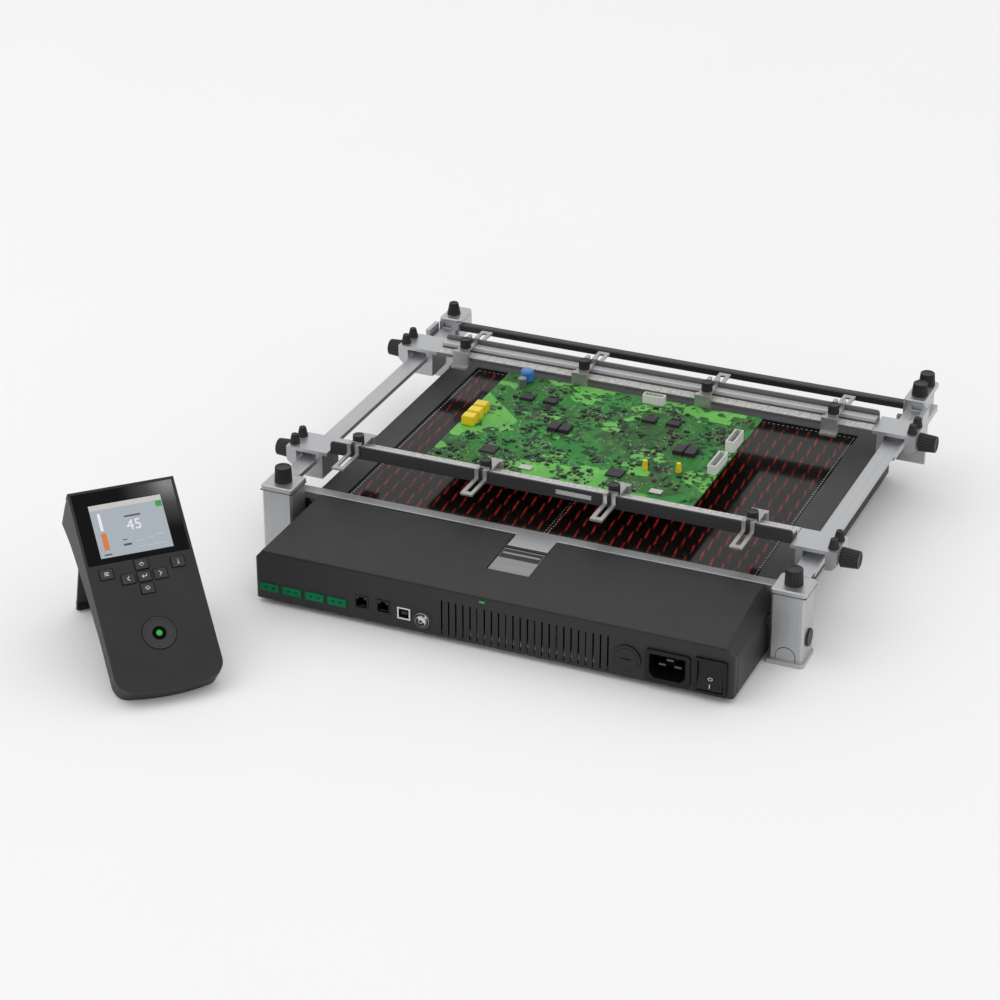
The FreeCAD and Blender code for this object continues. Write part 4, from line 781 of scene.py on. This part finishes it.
def make_catch_band():
    """Dark band across the upper part of the catch plate, with one light edge of a lip in it."""
    normal = facing_spot("catch_plate", lambda middle, direction: direction.z > 0.8)[1]
    level = max(face.center.dot(normal) for face in NODES["catch_plate"].data.polygons)
    at = facing_spot("catch_plate", lambda middle, direction: direction.z > 0.8
                     and middle.dot(normal) > level - 0.4 * MM)[0]
    low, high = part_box("catch_plate")
    half = (high.y - low.y) / 2 / MM
    for name, reach, near, far, top, coat in (
            ("catch_band", 17.6, 0.16, 0.93, 0.12, "cover"),
            ("catch_lip_edge", 16.2, 0.52, 0.66, 0.3, "satin")):
        band = small_block("band", (-reach, half * near, -0.1), (reach, half * far, top), 0.08)
        finished(turned_copy(band, name, normal, at), "root", coat, "cover_grey")
        discard(band)


def make_glass(options):
    softened_node("ceramic_glass", options.edge / MM * 0.7, "glass", "glass_black")


# Connectors

def make_connectors(options):
    edge = options.edge / MM
    softened_node("thermocouple_sockets", edge * 0.6, "tc_green", "tc_green")
    sockets = softened_node("data_sockets", edge * 0.5, "black", "steel_bright")
    solids = node_pieces("data_sockets")
    serial, jack = middle_of(solids[2]), middle_of(solids[3])
    serial_front, jack_front = solids[2][0].y, solids[3][0].y

    def from_jack(middle):
        return math.hypot(middle.x - jack.x, middle.z - jack.z)

    for coat, test in (
            ("bright", lambda middle, normal: abs(middle.x - serial.x) < 6.2 * MM),
            ("black", lambda middle, normal: abs(middle.x - serial.x) < 4.4 * MM
             and abs(middle.z - serial.z) < 4.4 * MM and middle.y > serial_front + 0.5 * MM),
            ("bright", lambda middle, normal: abs(middle.x - jack.x) < 7 * MM),
            ("black", lambda middle, normal: from_jack(middle) < 1.9 * MM)):
        paint(sockets, coat, test)
    nut = add_round("jack_nut", 4.6, (jack.x, jack_front + 0.3 * MM, jack.z),
                    (jack.x, jack_front + 1.0 * MM, jack.z), 32)
    pick_faces(nut, lambda middle, normal: normal.y < -0.9)
    inset(1.0, 0.2)
    inset(2.2)
    inset(0.1, -0.5)
    leave_edit()
    soften(nut, 0.08, 1)
    finished(nut, "root", "light_bar", "steel_bright")
    paint(nut, "black", lambda middle, normal: from_jack(middle) < 1.3 * MM)
    contact = small_block("contact", (-0.2, 0, 0), (0.2, 6, 0.4), 0.08)
    wires = []
    for low, high in solids[:2]:
        first = Vector(((low.x + high.x) / 2, low.y + 3 * MM, low.z + 1.05 * MM))
        wires += [placed(contact, "contact_copy", Matrix.Translation(first)
                         @ moved((i - 3.5) * 1.02, 0, 0)) for i in range(8)]
    discard(contact)
    finished(join("network_contacts", wires), "root", "brass", "steel_bright")
    soften_nodes(edge, ("fuse_holder", 1, "black", "black_plastic"),
                 ("fuse_cap", 0.7, "black", "black_plastic"))
    inlet = softened_node("mains_inlet", edge, "gloss_black", "black_plastic")
    low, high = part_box("mains_inlet")
    for dx, dz in ((-6.5, -1.5), (6.5, -1.5), (0, 3.5)):
        blade = middle_of((low, high)) + Vector((dx, 0, dz)) * MM
        paint(inlet, "screw", lambda middle, normal: abs(middle.x - blade.x) < 3.2 * MM
              and abs(middle.z - blade.z) < 1.2 * MM
              and low.y + 6.5 * MM < middle.y < low.y + 21.5 * MM)
    soften_nodes(edge, ("switch_frame", 1, "gloss_black", "black_plastic"),
                 ("power_rocker", 1, "gloss_black", "black_plastic"))
    make_rocker_marks()
    softened_node("status_light", edge * 0.4, "led", "light_green")


def make_rocker_marks():
    """Ring above and bar below, printed on the rocker's lower flat."""
    centre = middle_of(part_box("power_rocker"))
    at, normal = facing_spot("power_rocker", lambda middle, direction:
                             direction.y < -0.9 and middle.z < centre.z)
    start_clean()
    bpy.ops.mesh.primitive_torus_add(major_segments=32, minor_segments=8,
                                     major_radius=1.5 * MM, minor_radius=0.25 * MM)
    bpy.context.object.scale = (1.15, 0.75, 0.4)
    ring = settle(bpy.context.object, "ring")
    bar = small_block("mark", (-0.28, -1.8, -0.1), (0.28, 1.8, 0.1), 0.06)
    for mark, name, rise in ((ring, "rocker_ring_mark", 3.2), (bar, "rocker_bar_mark", -2.6)):
        piece = placed(mark, name, Matrix.Translation(at) @ facing(normal) @ moved(0, rise, 0))
        discard(mark)
        finished(piece, BODY_OF["power_rocker"], "glyph", "black_plastic")


# Board frame

def make_frame(options):
    soften_nodes(options.edge / MM, ("corner_posts", 1.3, "silver_z", "silver_anodised", 3),
                 ("side_rails", 1.3, "silver_y", "silver_anodised", 3),
                 ("front_strip", 1, "silver_x", "silver_anodised"),
                 ("strip_blocks", 1, "black", "black_plastic"),
                 ("rear_crossbar", 1, "dark_bar", "dark_anodised"))
    knob, small, wide, disc = [knob_blank(name, radius, height, options.knob_ribs, neck)
                               for name, radius, height, neck in (
                                   ("post_knob", 7.7, 13.4, 0.9), ("rear_nut", 6.4, 11.0, 0.66),
                                   ("rear_right_nut", 7.4, 11.4, 0.86), ("disc", 7.6, 1.9, 0.97))]
    parts = []
    for low, high in node_pieces("post_knobs"):
        middle = middle_of((low, high))
        right = middle.x > ORIGIN.x
        if low.z > DISC_BELOW * MM:
            kind = knob if middle.y < ORIGIN.y else wide if right else small
            parts.append(turned_copy(kind, "copy", (0, 0, 1), (middle.x, middle.y, low.z)))
        else:
            at = (low.x if right else high.x, middle.y, middle.z)
            parts.append(turned_copy(disc, "copy", (1 if right else -1, 0, 0), at))
    finished(join("post_knob_set", parts), "root", "knob", "knob_black", "post_knobs")
    discard(knob, small, wide, disc)
    caps = sorted(node_pieces("side_rails"), key=lambda box: box[0].y)[:2]
    for hand, (low, high) in zip(("a", "b"), caps):
        seam = add_block("post_seam_" + hand, low - Vector((0.1, 0.1, 0.35)) * MM,
                         (high.x + 0.1 * MM, high.y - 0.3 * MM, low.z + 0.35 * MM))
        soften(seam, 0.1, 1)
        finished(seam, "root", "gloss_black", "black_plastic")


def make_cross_rails(options):
    """Rails with a ruled ledge and a light bar on top. RAIL_BARS lists what lies on each."""
    for name, out in (("front", -1), ("rear", 1)):
        # The rear rail gets painted shade: its silver is drawn as the grey it shows in shade.
        softened_node(name + "_rail", options.edge / MM, "dark_bar" if out < 0 else "rear_bar_shade",
                      "silver_anodised")
        low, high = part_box(name + "_rail")
        inner = high.y if out < 0 else low.y
        body = BODY_OF[name + "_rail"]
        for title, coat, ends, near, far, bottom, top, edge, segments in RAIL_BARS:
            front, back = sorted((inner + out * near * MM, inner + out * far * MM))
            bar = add_block(name + title, (low.x + ends * MM, front, bottom * MM),
                            (high.x - ends * MM, back, top * MM))
            soften(bar, edge, segments)
            finished(bar, body, coat, "silver_anodised")
        if out < 0:
            plate = add_block("front_rail_plate", spot(1, 0, 76.2), spot(33, 1, 80.4))
            plate.data.transform(Matrix.Translation((0, low.y - 0.12 * MM - spot(0, 0, 0).y, 0)))
            soften(plate, 0.3)
            finished(plate, body, "bright", "silver_anodised")
        softened_node(name + "_carriages", options.edge / MM * 1.5, "silver_y",
                      "silver_anodised", 3)


def make_knobs(options):
    for name in ("front", "rear"):
        knob = knob_blank("thumb", 4.7, 8.4, 12, 0.62)
        node = name + "_thumb_screws"
        parts = [turned_copy(knob, "copy", (0, 0, 1), (*middle_of(box).xy, box[0].z))
                 for box in node_pieces(node)]
        finished(join(name + "_thumb_set", parts), BODY_OF[node], "knob", "knob_black", node)
        discard(knob)
        for hand, side in (("left", -1), ("right", 1)):
            node = name + "_" + hand + "_knob"
            low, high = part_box(node)
            middle = middle_of((low, high))
            outer, inner = (high.x, low.x) if side > 0 else (low.x, high.x)
            grip = knob_blank("grip", 8.3, GRIP_LENGTH, options.knob_ribs, 0.88)
            shell = turned_copy(grip, node + "_shell", (side, 0, 0),
                                (outer - side * GRIP_LENGTH * MM, middle.y, middle.z))
            discard(grip)
            screw = add_round(node + "_screw", 2.45,
                              (outer - side * (GRIP_LENGTH - 0.5) * MM, middle.y, middle.z),
                              (inner, middle.y, middle.z), 24)
            soften(screw, 0.3)
            finished(screw, BODY_OF[node], "screw", "knob_black")
            finished(shell, BODY_OF[node], "knob", "knob_black", node)


def make_clips(options):
    """Clips with their node's knob cut off and replaced, and a slot cut in each tail."""
    knob = knob_blank("clip_knob", 5.1, 8.2, 14, 0.95)
    for name, out in (("front", -1), ("rear", 1)):
        rail_low, rail_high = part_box(name + "_rail")
        inner = rail_high.y if out < 0 else rail_low.y
        knob_y = inner + out * CLIP_KNOB * MM
        seat_y = inner + out * (FRONT_CLIP_SEAT if out < 0 else CLIP_KNOB) * MM
        for number in range(1, 5):
            node = name + "_clip_" + str(number)
            low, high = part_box(node)
            base = high.z - CLIP_KNOB_HEIGHT * MM
            strap = copied_node(node)
            pick_faces(strap, lambda middle, normal: abs(middle.y - knob_y) < 5.6 * MM
                       and (middle.z > base + 0.05 * MM
                            or (middle.z > base - 0.05 * MM and normal.z < -0.9)))
            bpy.ops.mesh.delete(type="FACE")
            bpy.ops.mesh.select_all(action="SELECT")
            bpy.ops.mesh.fill_holes(sides=0)
            leave_edit()
            middle_x = (low.x + high.x) / 2
            tail_end = low.y + 5 * MM if out < 0 else high.y - 5 * MM
            front, back = sorted((seat_y + out * 6.5 * MM, tail_end))
            cutter = add_block("slot", (middle_x - 2.0 * MM, front, low.z - MM),
                               (middle_x + 2.0 * MM, back, high.z))
            make_active(strap)
            slot = strap.modifiers.new("slot", "BOOLEAN")
            slot.object = cutter
            bpy.ops.object.modifier_apply(modifier=slot.name)
            discard(cutter)
            soften(strap, 0.25)
            finished(strap, BODY_OF[node], "steel", "steel_bright", node)
            grip = turned_copy(knob, node + "_knob", (0, 0, 1), (middle_x, seat_y, base))
            finished(grip, BODY_OF[node], "knob", "knob_black")
    discard(knob)


# Board

def on_board(x, y, turn=0.0, lift=0.0):
    return Matrix.Translation(spot(x, y, BOARD_TOP + lift)) @ Matrix.Rotation(turn, 4, "Z")


def group_on_board(name, parts, coat, *nodes):
    finished(join(name, parts), BODY_OF["circuit_board"], coat, "component_black", *nodes)


def make_board(options):
    softened_node("circuit_board", 0.15, "mask", "board_green")


def make_large_parts(options):
    """Chips with legs, film blocks, beads, cans, modules and pin headers at their places."""
    leg = chip_blank("leg", 0.5, 1.2, 0.8, 0.08)
    chips, legs = [], []
    for x, y, width, depth, height in CHIPS:
        blank = chip_blank("chip", width, depth, height, 0.2)
        chips.append(placed(blank, "copy", on_board(x, y)))
        discard(blank)
        count = int(width // 1.3)
        legs += [placed(leg, "copy", on_board(x + (i - (count - 1) / 2) * 1.25,
                                              y + side * (depth / 2 + 0.4)))
                 for i in range(count) for side in (-1, 1)]
    discard(leg)
    group_on_board("board_chips", chips, "chip", "board_components")
    group_on_board("board_chip_legs", legs, "tin")
    bead, sleeve, can = [add_round("round", radius, (0, 0, 0), (0, 0, height * MM), sides, top)
                         for radius, top, height, sides in (
                             (2.5, 2.1, 9.2, 16), (6.3, 6.0, 11.6, 32), (3.8, 3.8, 8.8, 28))]
    soften(bead, 0.8)
    soften(sleeve, 2.2, 3)
    pick_faces(can, upward)
    inset(0.5, -0.3)
    leave_edit()
    soften(can, 0.4)
    for name, blank, coat, places in (
            ("board_film_blocks", chip_blank("film", 12.0, 10.4, 8.7, 2.4), "yellow", FILM_BLOCKS),
            ("board_beads", bead, "yellow", BEADS),
            ("board_blue_can", sleeve, "blue", ((-110, 99.5),)),
            ("board_grey_can", can, "can", ((-109.5, 87),)),
            ("board_modules", chip_blank("module", 11, 7, 1.6, 0.3), "tin", MODULES)):
        group_on_board(name, [placed(blank, "copy", on_board(x, y)) for x, y in places], coat)
        discard(blank)
    make_headers()


def make_headers():
    """White housings with an open trough and a row of pins in each."""
    pin = chip_blank("pin", 0.64, 0.64, PIN_LENGTH, 0.1)
    housings, pins = [], []
    for x, y, length, width, height, turn in HEADERS:
        shell = add_block("header", Vector((-length, -width, 0)) / 2 * MM,
                          Vector((length / 2, width / 2, height)) * MM)
        pick_faces(shell, upward)
        inset(1.1)
        bpy.ops.mesh.extrude_region_move(
            TRANSFORM_OT_translate={"value": (0, 0, (TROUGH_FLOOR - height) * MM)})
        leave_edit()
        soften(shell, 0.25, 1)
        angle = math.radians(turn)
        housings.append(placed(shell, "copy", on_board(x, y, angle)))
        discard(shell)
        count = int((length - 3) // PIN_PITCH)
        for i in range(count):
            step = (i - (count - 1) / 2) * PIN_PITCH
            pins.append(placed(pin, "copy", on_board(
                x + step * math.cos(angle), y + step * math.sin(angle), 0, height - 4.8)))
    discard(pin)
    group_on_board("board_headers", housings, "white")
    group_on_board("board_header_pins", pins, "tin")


def make_small_parts(options):
    """Clusters of small parts, the same on both halves of the board."""
    dice = random.Random(7)
    kinds = (("chip", 2.2, 1.6, 0.9), ("chip", 3.6, 3.0, 1.2), ("tan", 1.8, 1.0, 0.6),
             ("chip_grey", 2.4, 1.4, 0.9), ("tin", 1.4, 0.8, 0.5), ("chip", 5.0, 2.6, 1.3))
    blanks = [chip_blank("small", *sizes, 0.1) for _, *sizes in kinds]
    clusters = ((-104, 52, 20, 26), (-84, 84, 16, 10), (-58, 44, 14, 16), (-96, -22, 22, 10),
                (-62, -26, 20, 16), (-34, -34, 16, 18), (-112, -56, 12, 12), (-30, 60, 14, 14),
                (-78, 10, 16, 12), (-66, -58, 24, 10))
    # Where large parts stand: middle, then reach across and back
    taken = [(x, y, w / 2 + 1.5, d / 2 + 1.5) for x, y, w, d, _ in CHIPS]
    taken += [(x, y, 7.5, 6.5) for x, y in FILM_BLOCKS] + [(-108, 97, 8, 8), (-113, 86.5, 5, 5)]
    taken += [(x, y, 7, 5) for x, y in MODULES] + [(x, y, 4, 4) for x, y in BEADS]
    taken += [(11.5, 101, 12, 6), (105, 4, 6, 17), (105, 47.5, 6, 15)]
    made = {}
    for cx, cy, reach_x, reach_y in clusters:
        for _ in range(options.small_parts):
            kind = dice.choice((0, 0, 1, 2, 2, 3, 4, 4, 5))
            x = cx + round(dice.uniform(-reach_x, reach_x) / 1.5) * 1.5
            y = cy + round(dice.uniform(-reach_y, reach_y) / 1.5) * 1.5
            quarter = dice.choice((0.0, math.pi / 2))
            for at in (x, x + HALF_PITCH):
                inside = SMALL_X[0] < at < SMALL_X[1] and SMALL_Y[0] < y < SMALL_Y[1]
                if not inside or any(abs(at - tx) < tw + 2 and abs(y - ty) < td + 2
                                     for tx, ty, tw, td in taken):
                    continue
                made.setdefault(kinds[kind][0], []).append(
                    placed(blanks[kind], "copy", on_board(at, y, quarter)))
                taken.append((at, y, 1.2, 1.0))
    discard(*blanks)
    for coat, parts in made.items():
        group_on_board("board_small_" + coat, parts, coat)


# Console

def on_face(piece, name, node, coat, slot):
    """Moves a piece drawn flat on the console's face to where the console stands."""
    twin = placed(piece, name, FACE)
    discard(piece)
    return finished(twin, BODY_OF[node], coat, slot)


def face_stroke(x, y, to_x, to_y, width=0.5, thickness=0.12):
    """Thin bar from one point of the face to another, on top of a key."""
    half = math.hypot(to_x - x, to_y - y) / 2 + width / 2
    height = KEY_TOP - 0.04
    bar = small_block("stroke", (-half, -width / 2, height), (half, width / 2, height + thickness),
                      0.05)
    turn = Matrix.Rotation(math.atan2(to_y - y, to_x - x), 4, "Z")
    bar.data.transform(moved((x + to_x) / 2, (y + to_y) / 2, 0) @ turn)
    return bar


def make_console(options):
    soften_nodes(1.0, ("console_front", 1, "console", "console_charcoal", 3),
                 ("console_back", 1, "console", "console_charcoal", 3),
                 ("console_screen", 0.15, "screen", "console_gloss"))
    stand = softened_node("kickstand", 0.4, "console", "console_charcoal")
    foot_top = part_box("kickstand")[0].z + 9.2 * MM
    paint(stand, "rubber", lambda middle, normal: middle.z < foot_top)
    softened_node("start_button", 0.3, "key", "key_grey")

    def button_round(name, radius, low, high, sides, top_radius=None):
        return add_round(name, radius, Vector((0, BUTTON_UP, low)) * MM,
                         Vector((0, BUTTON_UP, high)) * MM, sides, top_radius)

    ring = button_round("ring", 5.6, -0.8, 0.05, 32)
    pick_faces(ring, upward)
    inset(1.2, -0.15)
    leave_edit()
    soften(ring, 0.08, 1)
    on_face(ring, "start_surround", "start_button", "pitch", "key_grey")
    lamp = button_round("led", 2.7, -0.4, 0.25, 28, 2.2)
    soften(lamp, 0.3)
    on_face(lamp, "start_light", "start_button", "led", "key_grey")


def make_hood(options):
    """Cheeks and top wall that carry the shell's depth back round the folded stand."""
    parts = []
    for side in (-1, 1):
        x0, x1 = sorted((side * 43.2, side * 39.6))
        start = HOOD_SECTIONS[0][0]
        cheek = add_block("cheek", Vector((x0, start - 1, -16)) * MM,
                          Vector((x1, start, SHELL_BACK)) * MM)
        for (y_from, z_from), (y_to, z_to) in zip(HOOD_SECTIONS, HOOD_SECTIONS[1:]):
            pick_faces(cheek, lambda middle, normal: normal.y > 0.99
                       and abs(middle.y - y_from * MM) < 0.3 * MM)
            bpy.ops.mesh.extrude_region_move(
                TRANSFORM_OT_translate={"value": (0, (y_to - y_from) * MM, 0)})
            stretch = (SHELL_BACK - z_to) / (SHELL_BACK - z_from)
            bpy.ops.transform.resize(value=(1, 1, stretch),
                                     center_override=(0, y_to * MM, SHELL_BACK * MM))
            leave_edit()
        parts.append(cheek)
    parts.append(add_block("top_wall", Vector((-40, 165.5, -46)) * MM, Vector((40, 169, -21)) * MM))
    hood = join("hood", parts)
    soften(hood, 0.8)
    on_face(hood, "console_hood", "console_back", "console", "console_charcoal")
    y = HINGE_UP - FOOT_REACH * math.cos(STAND_OPEN)
    z = -HINGE_BEHIND - FOOT_REACH * math.sin(STAND_OPEN)
    bar = add_round("bar", 4.4, Vector((-34.6, y, z)) * MM, Vector((34.6, y, z)) * MM, 24)
    soften(bar, 0.8)
    on_face(bar, "stand_foot", "kickstand", "rubber", "console_charcoal")


def make_display(options):
    """Picture on the display: ground, top bar, gauge, number, green sign and small bars."""
    # Name, finish, lower and upper level, then the low and high corner of each block
    layers = (
        ("display_ground", "lcd", 0.04, 0.15, ((-29.9, 114.6, 29.0, 160.0),)),
        ("display_top_bar", "lcd_bar", 0.1, 0.2, ((-29.9, 155.6, 29.0, 160.0),)),
        ("display_tube", "lcd_white", 0.1, 0.2, ((-24.6, 137.5, -22.2, 152.5),)),
        ("display_gauge", "lcd_orange", 0.1, 0.2, ((-25.4, 120.8, -21.0, 135.5),)),
        ("display_sign", "lcd_green", 0.16, 0.24, ((23.4, 150.2, 28.4, 155.2),)),
        ("display_rows", "lcd_dark", 0.1, 0.19, (
            (-3.8, 145.9, 9.6, 147.3), (-9.5, 126.8, -5.6, 127.7), (-9.5, 122.0, -3.0, 123.8),
            (-26.5, 116.4, -20.4, 117.6))),
        ("display_chart", "lcd_bar", 0.1, 0.19, (
            (1.0, 124.0, 7.4, 124.6), (9.0, 125.4, 15.4, 126.0), (17.0, 127.0, 23.4, 127.6),
            (1.0, 119.2, 26.0, 119.6))),
    )
    for name, coat, low, high, blocks in layers:
        parts = [small_block(name, (x0, y0, low), (x1, y1, high), 0.04) for x0, y0, x1, y1 in blocks]
        on_face(join(name, parts), name, "console_screen", coat, "console_gloss")
    start_clean()
    bpy.ops.object.text_add()
    text = bpy.context.object.data
    text.body = options.reading
    text.size = 12.5 * MM
    text.extrude = 0.05 * MM
    text.align_x = text.align_y = "CENTER"
    bpy.ops.object.convert(target="MESH")
    number = bpy.context.object
    number.data.transform(moved(2.6, 138.4, 0.19))
    on_face(number, "display_number", "console_screen", "lcd_white", "console_gloss")


def make_keys(options):
    """Keycaps and the bright marks on them."""
    for node, (x, y, strokes) in KEYS.items():
        softened_node(node, 0.3, "key", "key_grey")
        bars = [face_stroke(x + x0, y + y0, x + x1, y + y1) for x0, y0, x1, y1 in strokes]
        on_face(join("mark", bars), node + "_glyph", node, "glyph", "key_grey")


# Stage

def link_object(name, data, at, turn):
    item = bpy.data.objects.new(name, data)
    bpy.context.scene.collection.objects.link(item)
    item.location = at
    item.rotation_euler = turn
    return item


def make_world(options):
    """Even white light. The camera, glass and mirrors see the floor's colour instead."""
    world = bpy.data.worlds.new("studio")
    bpy.context.scene.world = world
    world.use_nodes = True
    nodes, links = world.node_tree.nodes, world.node_tree.links
    nodes.clear()
    light = nodes.new("ShaderNodeBackground")
    light.inputs["Color"].default_value = (1, 1, 1, 1)
    light.inputs["Strength"].default_value = options.world_light
    seen = nodes.new("ShaderNodeBackground")
    seen.inputs["Color"].default_value = (*options.floor_colour, 1.0)
    rays = nodes.new("ShaderNodeLightPath").outputs
    total = rays["Is Camera Ray"]
    for ray in ("Is Transmission Ray", "Is Glossy Ray"):
        either = nodes.new("ShaderNodeMath")
        either.operation = "MAXIMUM"
        links.new(total, either.inputs[0])
        links.new(rays[ray], either.inputs[1])
        total = either.outputs[0]
    mix = nodes.new("ShaderNodeMixShader")
    for source, target in zip((total, light.outputs[0], seen.outputs[0]), mix.inputs):
        links.new(source, target)
    links.new(mix.outputs[0], nodes.new("ShaderNodeOutputWorld").inputs["Surface"])


def make_stage(options):
    start_clean()
    bpy.ops.mesh.primitive_plane_add(size=14, location=(0, 0, 0))
    floor = bpy.context.object
    floor.name = "pale_floor"
    mat = Recipe("floor_white")
    mat.set(Base_Color=mat.blend(mat.noise(6, 2), (0.895, 0.895, 0.895, 1),
                                 (0.885, 0.885, 0.885, 1)),
            Roughness=0.9, Specular_IOR_Level=0.1)
    floor.data.materials.append(mat.material)
    make_world(options)
    for name, at, power in (("key", (-1.6, -0.8, 2.6), options.key_light),
                            ("fill", (2.4, -1.6, 2.0), options.key_light * 0.35)):
        lamp = bpy.data.lights.new(name, "AREA")
        lamp.shape = "SQUARE"
        lamp.size = 2.2
        lamp.energy = power
        link_object(name, lamp, at, (-Vector(at)).to_track_quat("-Z", "Y").to_euler())
    lens = bpy.data.cameras.new("photo_camera")
    lens.lens = CAMERA_LENS
    lens.sensor_width = 36
    bpy.context.scene.camera = link_object(
        "photo_camera", lens, spot(*CAMERA_SPOT),
        (math.radians(90 - CAMERA_PITCH), 0, math.radians(CAMERA_YAW)))
    bpy.context.scene.view_settings.view_transform = "Standard"


# Operators: one for each group of pieces, and one for the stage

class BuildStep:
    """What all the operators share."""
    bl_options = {"REGISTER", "UNDO"}


def run(build, context):
    """Builds with the scene's settings, for an operator."""
    build(context.scene.preheater)
    return {"FINISHED"}


class PREHEATER_OT_stage(BuildStep, bpy.types.Operator):
    """Lay the floor, the backdrop, the soft lights and the camera"""
    bl_idname = "preheater.stage"
    bl_label = "Stage"

    def execute(self, context):
        return run(make_stage, context)


class PREHEATER_OT_case(BuildStep, bpy.types.Operator):
    """Dress the sheet metal case, its cover and the parts inside it"""
    bl_idname = "preheater.case"
    bl_label = "Case"

    def execute(self, context):
        return run(make_case, context)


class PREHEATER_OT_glass(BuildStep, bpy.types.Operator):
    """Dress the ceramic glass with its glow and its printed dots"""
    bl_idname = "preheater.glass"
    bl_label = "Heated glass"

    def execute(self, context):
        return run(make_glass, context)


class PREHEATER_OT_connectors(BuildStep, bpy.types.Operator):
    """Dress the sockets, the fuse, the mains inlet and the power switch"""
    bl_idname = "preheater.connectors"
    bl_label = "Connectors"

    def execute(self, context):
        return run(make_connectors, context)


class PREHEATER_OT_frame(BuildStep, bpy.types.Operator):
    """Dress the posts, the side rails and the fixed cross members"""
    bl_idname = "preheater.frame"
    bl_label = "Support frame"

    def execute(self, context):
        return run(make_frame, context)


class PREHEATER_OT_cross_rails(BuildStep, bpy.types.Operator):
    """Dress the sliding cross rails and their carriages"""
    bl_idname = "preheater.cross_rails"
    bl_label = "Cross rails"

    def execute(self, context):
        return run(make_cross_rails, context)


class PREHEATER_OT_knobs(BuildStep, bpy.types.Operator):
    """Model the carriages' clamp knobs and thumb screws"""
    bl_idname = "preheater.knobs"
    bl_label = "Clamp knobs"

    def execute(self, context):
        return run(make_knobs, context)


class PREHEATER_OT_clips(BuildStep, bpy.types.Operator):
    """Dress the eight board clips and model their knobs"""
    bl_idname = "preheater.clips"
    bl_label = "Board clips"

    def execute(self, context):
        return run(make_clips, context)


class PREHEATER_OT_board(BuildStep, bpy.types.Operator):
    """Dress the circuit board"""
    bl_idname = "preheater.board"
    bl_label = "Circuit board"

    def execute(self, context):
        return run(make_board, context)


class PREHEATER_OT_large_parts(BuildStep, bpy.types.Operator):
    """Model the chips, capacitors and connectors on the board"""
    bl_idname = "preheater.large_parts"
    bl_label = "Large board parts"

    def execute(self, context):
        return run(make_large_parts, context)


class PREHEATER_OT_small_parts(BuildStep, bpy.types.Operator):
    """Model the clusters of small parts on the board"""
    bl_idname = "preheater.small_parts"
    bl_label = "Small board parts"

    def execute(self, context):
        return run(make_small_parts, context)


class PREHEATER_OT_console(BuildStep, bpy.types.Operator):
    """Dress the hand console, its stand and its start button"""
    bl_idname = "preheater.console"
    bl_label = "Console"

    def execute(self, context):
        return run(make_console, context)


class PREHEATER_OT_hood(BuildStep, bpy.types.Operator):
    """Model the deep part of the console's back and the stand's foot bar"""
    bl_idname = "preheater.hood"
    bl_label = "Console back"

    def execute(self, context):
        return run(make_hood, context)


class PREHEATER_OT_display(BuildStep, bpy.types.Operator):
    """Model the picture on the console's display"""
    bl_idname = "preheater.display"
    bl_label = "Display"

    def execute(self, context):
        return run(make_display, context)


class PREHEATER_OT_keys(BuildStep, bpy.types.Operator):
    """Dress the keys and model the marks on them"""
    bl_idname = "preheater.keys"
    bl_label = "Keys"

    def execute(self, context):
        return run(make_keys, context)


STEPS = BuildStep.__subclasses__()      # in the order written above


class PREHEATER_PT_sidebar(bpy.types.Panel):
    """Settings and building steps of the preheater"""
    bl_idname = "PREHEATER_PT_sidebar"
    bl_label = "Circuit board preheater"
    bl_space_type = "VIEW_3D"
    bl_region_type = "UI"
    bl_category = "Preheater"

    def draw(self, context):
        options = context.scene.preheater
        column = self.layout.column(align=True)
        for name in PreheaterSettings.__annotations__:
            column.prop(options, name)
        column = self.layout.column(align=True)
        for step in STEPS:
            column.operator(step.bl_idname)


CLASSES = (PreheaterSettings, *STEPS, PREHEATER_PT_sidebar)


def register():
    for item in CLASSES:
        bpy.utils.register_class(item)
    bpy.types.Scene.preheater = bpy.props.PointerProperty(type=PreheaterSettings)


def unregister():
    del bpy.types.Scene.preheater
    for item in reversed(CLASSES):
        bpy.utils.unregister_class(item)


def main():
    register()
    bpy.ops.preheater.stage()
    bpy.ops.preheater.case()
    bpy.ops.preheater.glass()
    bpy.ops.preheater.connectors()
    bpy.ops.preheater.frame()
    bpy.ops.preheater.cross_rails()
    bpy.ops.preheater.knobs()
    bpy.ops.preheater.clips()
    bpy.ops.preheater.board()
    bpy.ops.preheater.large_parts()
    bpy.ops.preheater.small_parts()
    bpy.ops.preheater.console()
    bpy.ops.preheater.hood()
    bpy.ops.preheater.display()
    bpy.ops.preheater.keys()


if __name__ == "__main__":
    main()
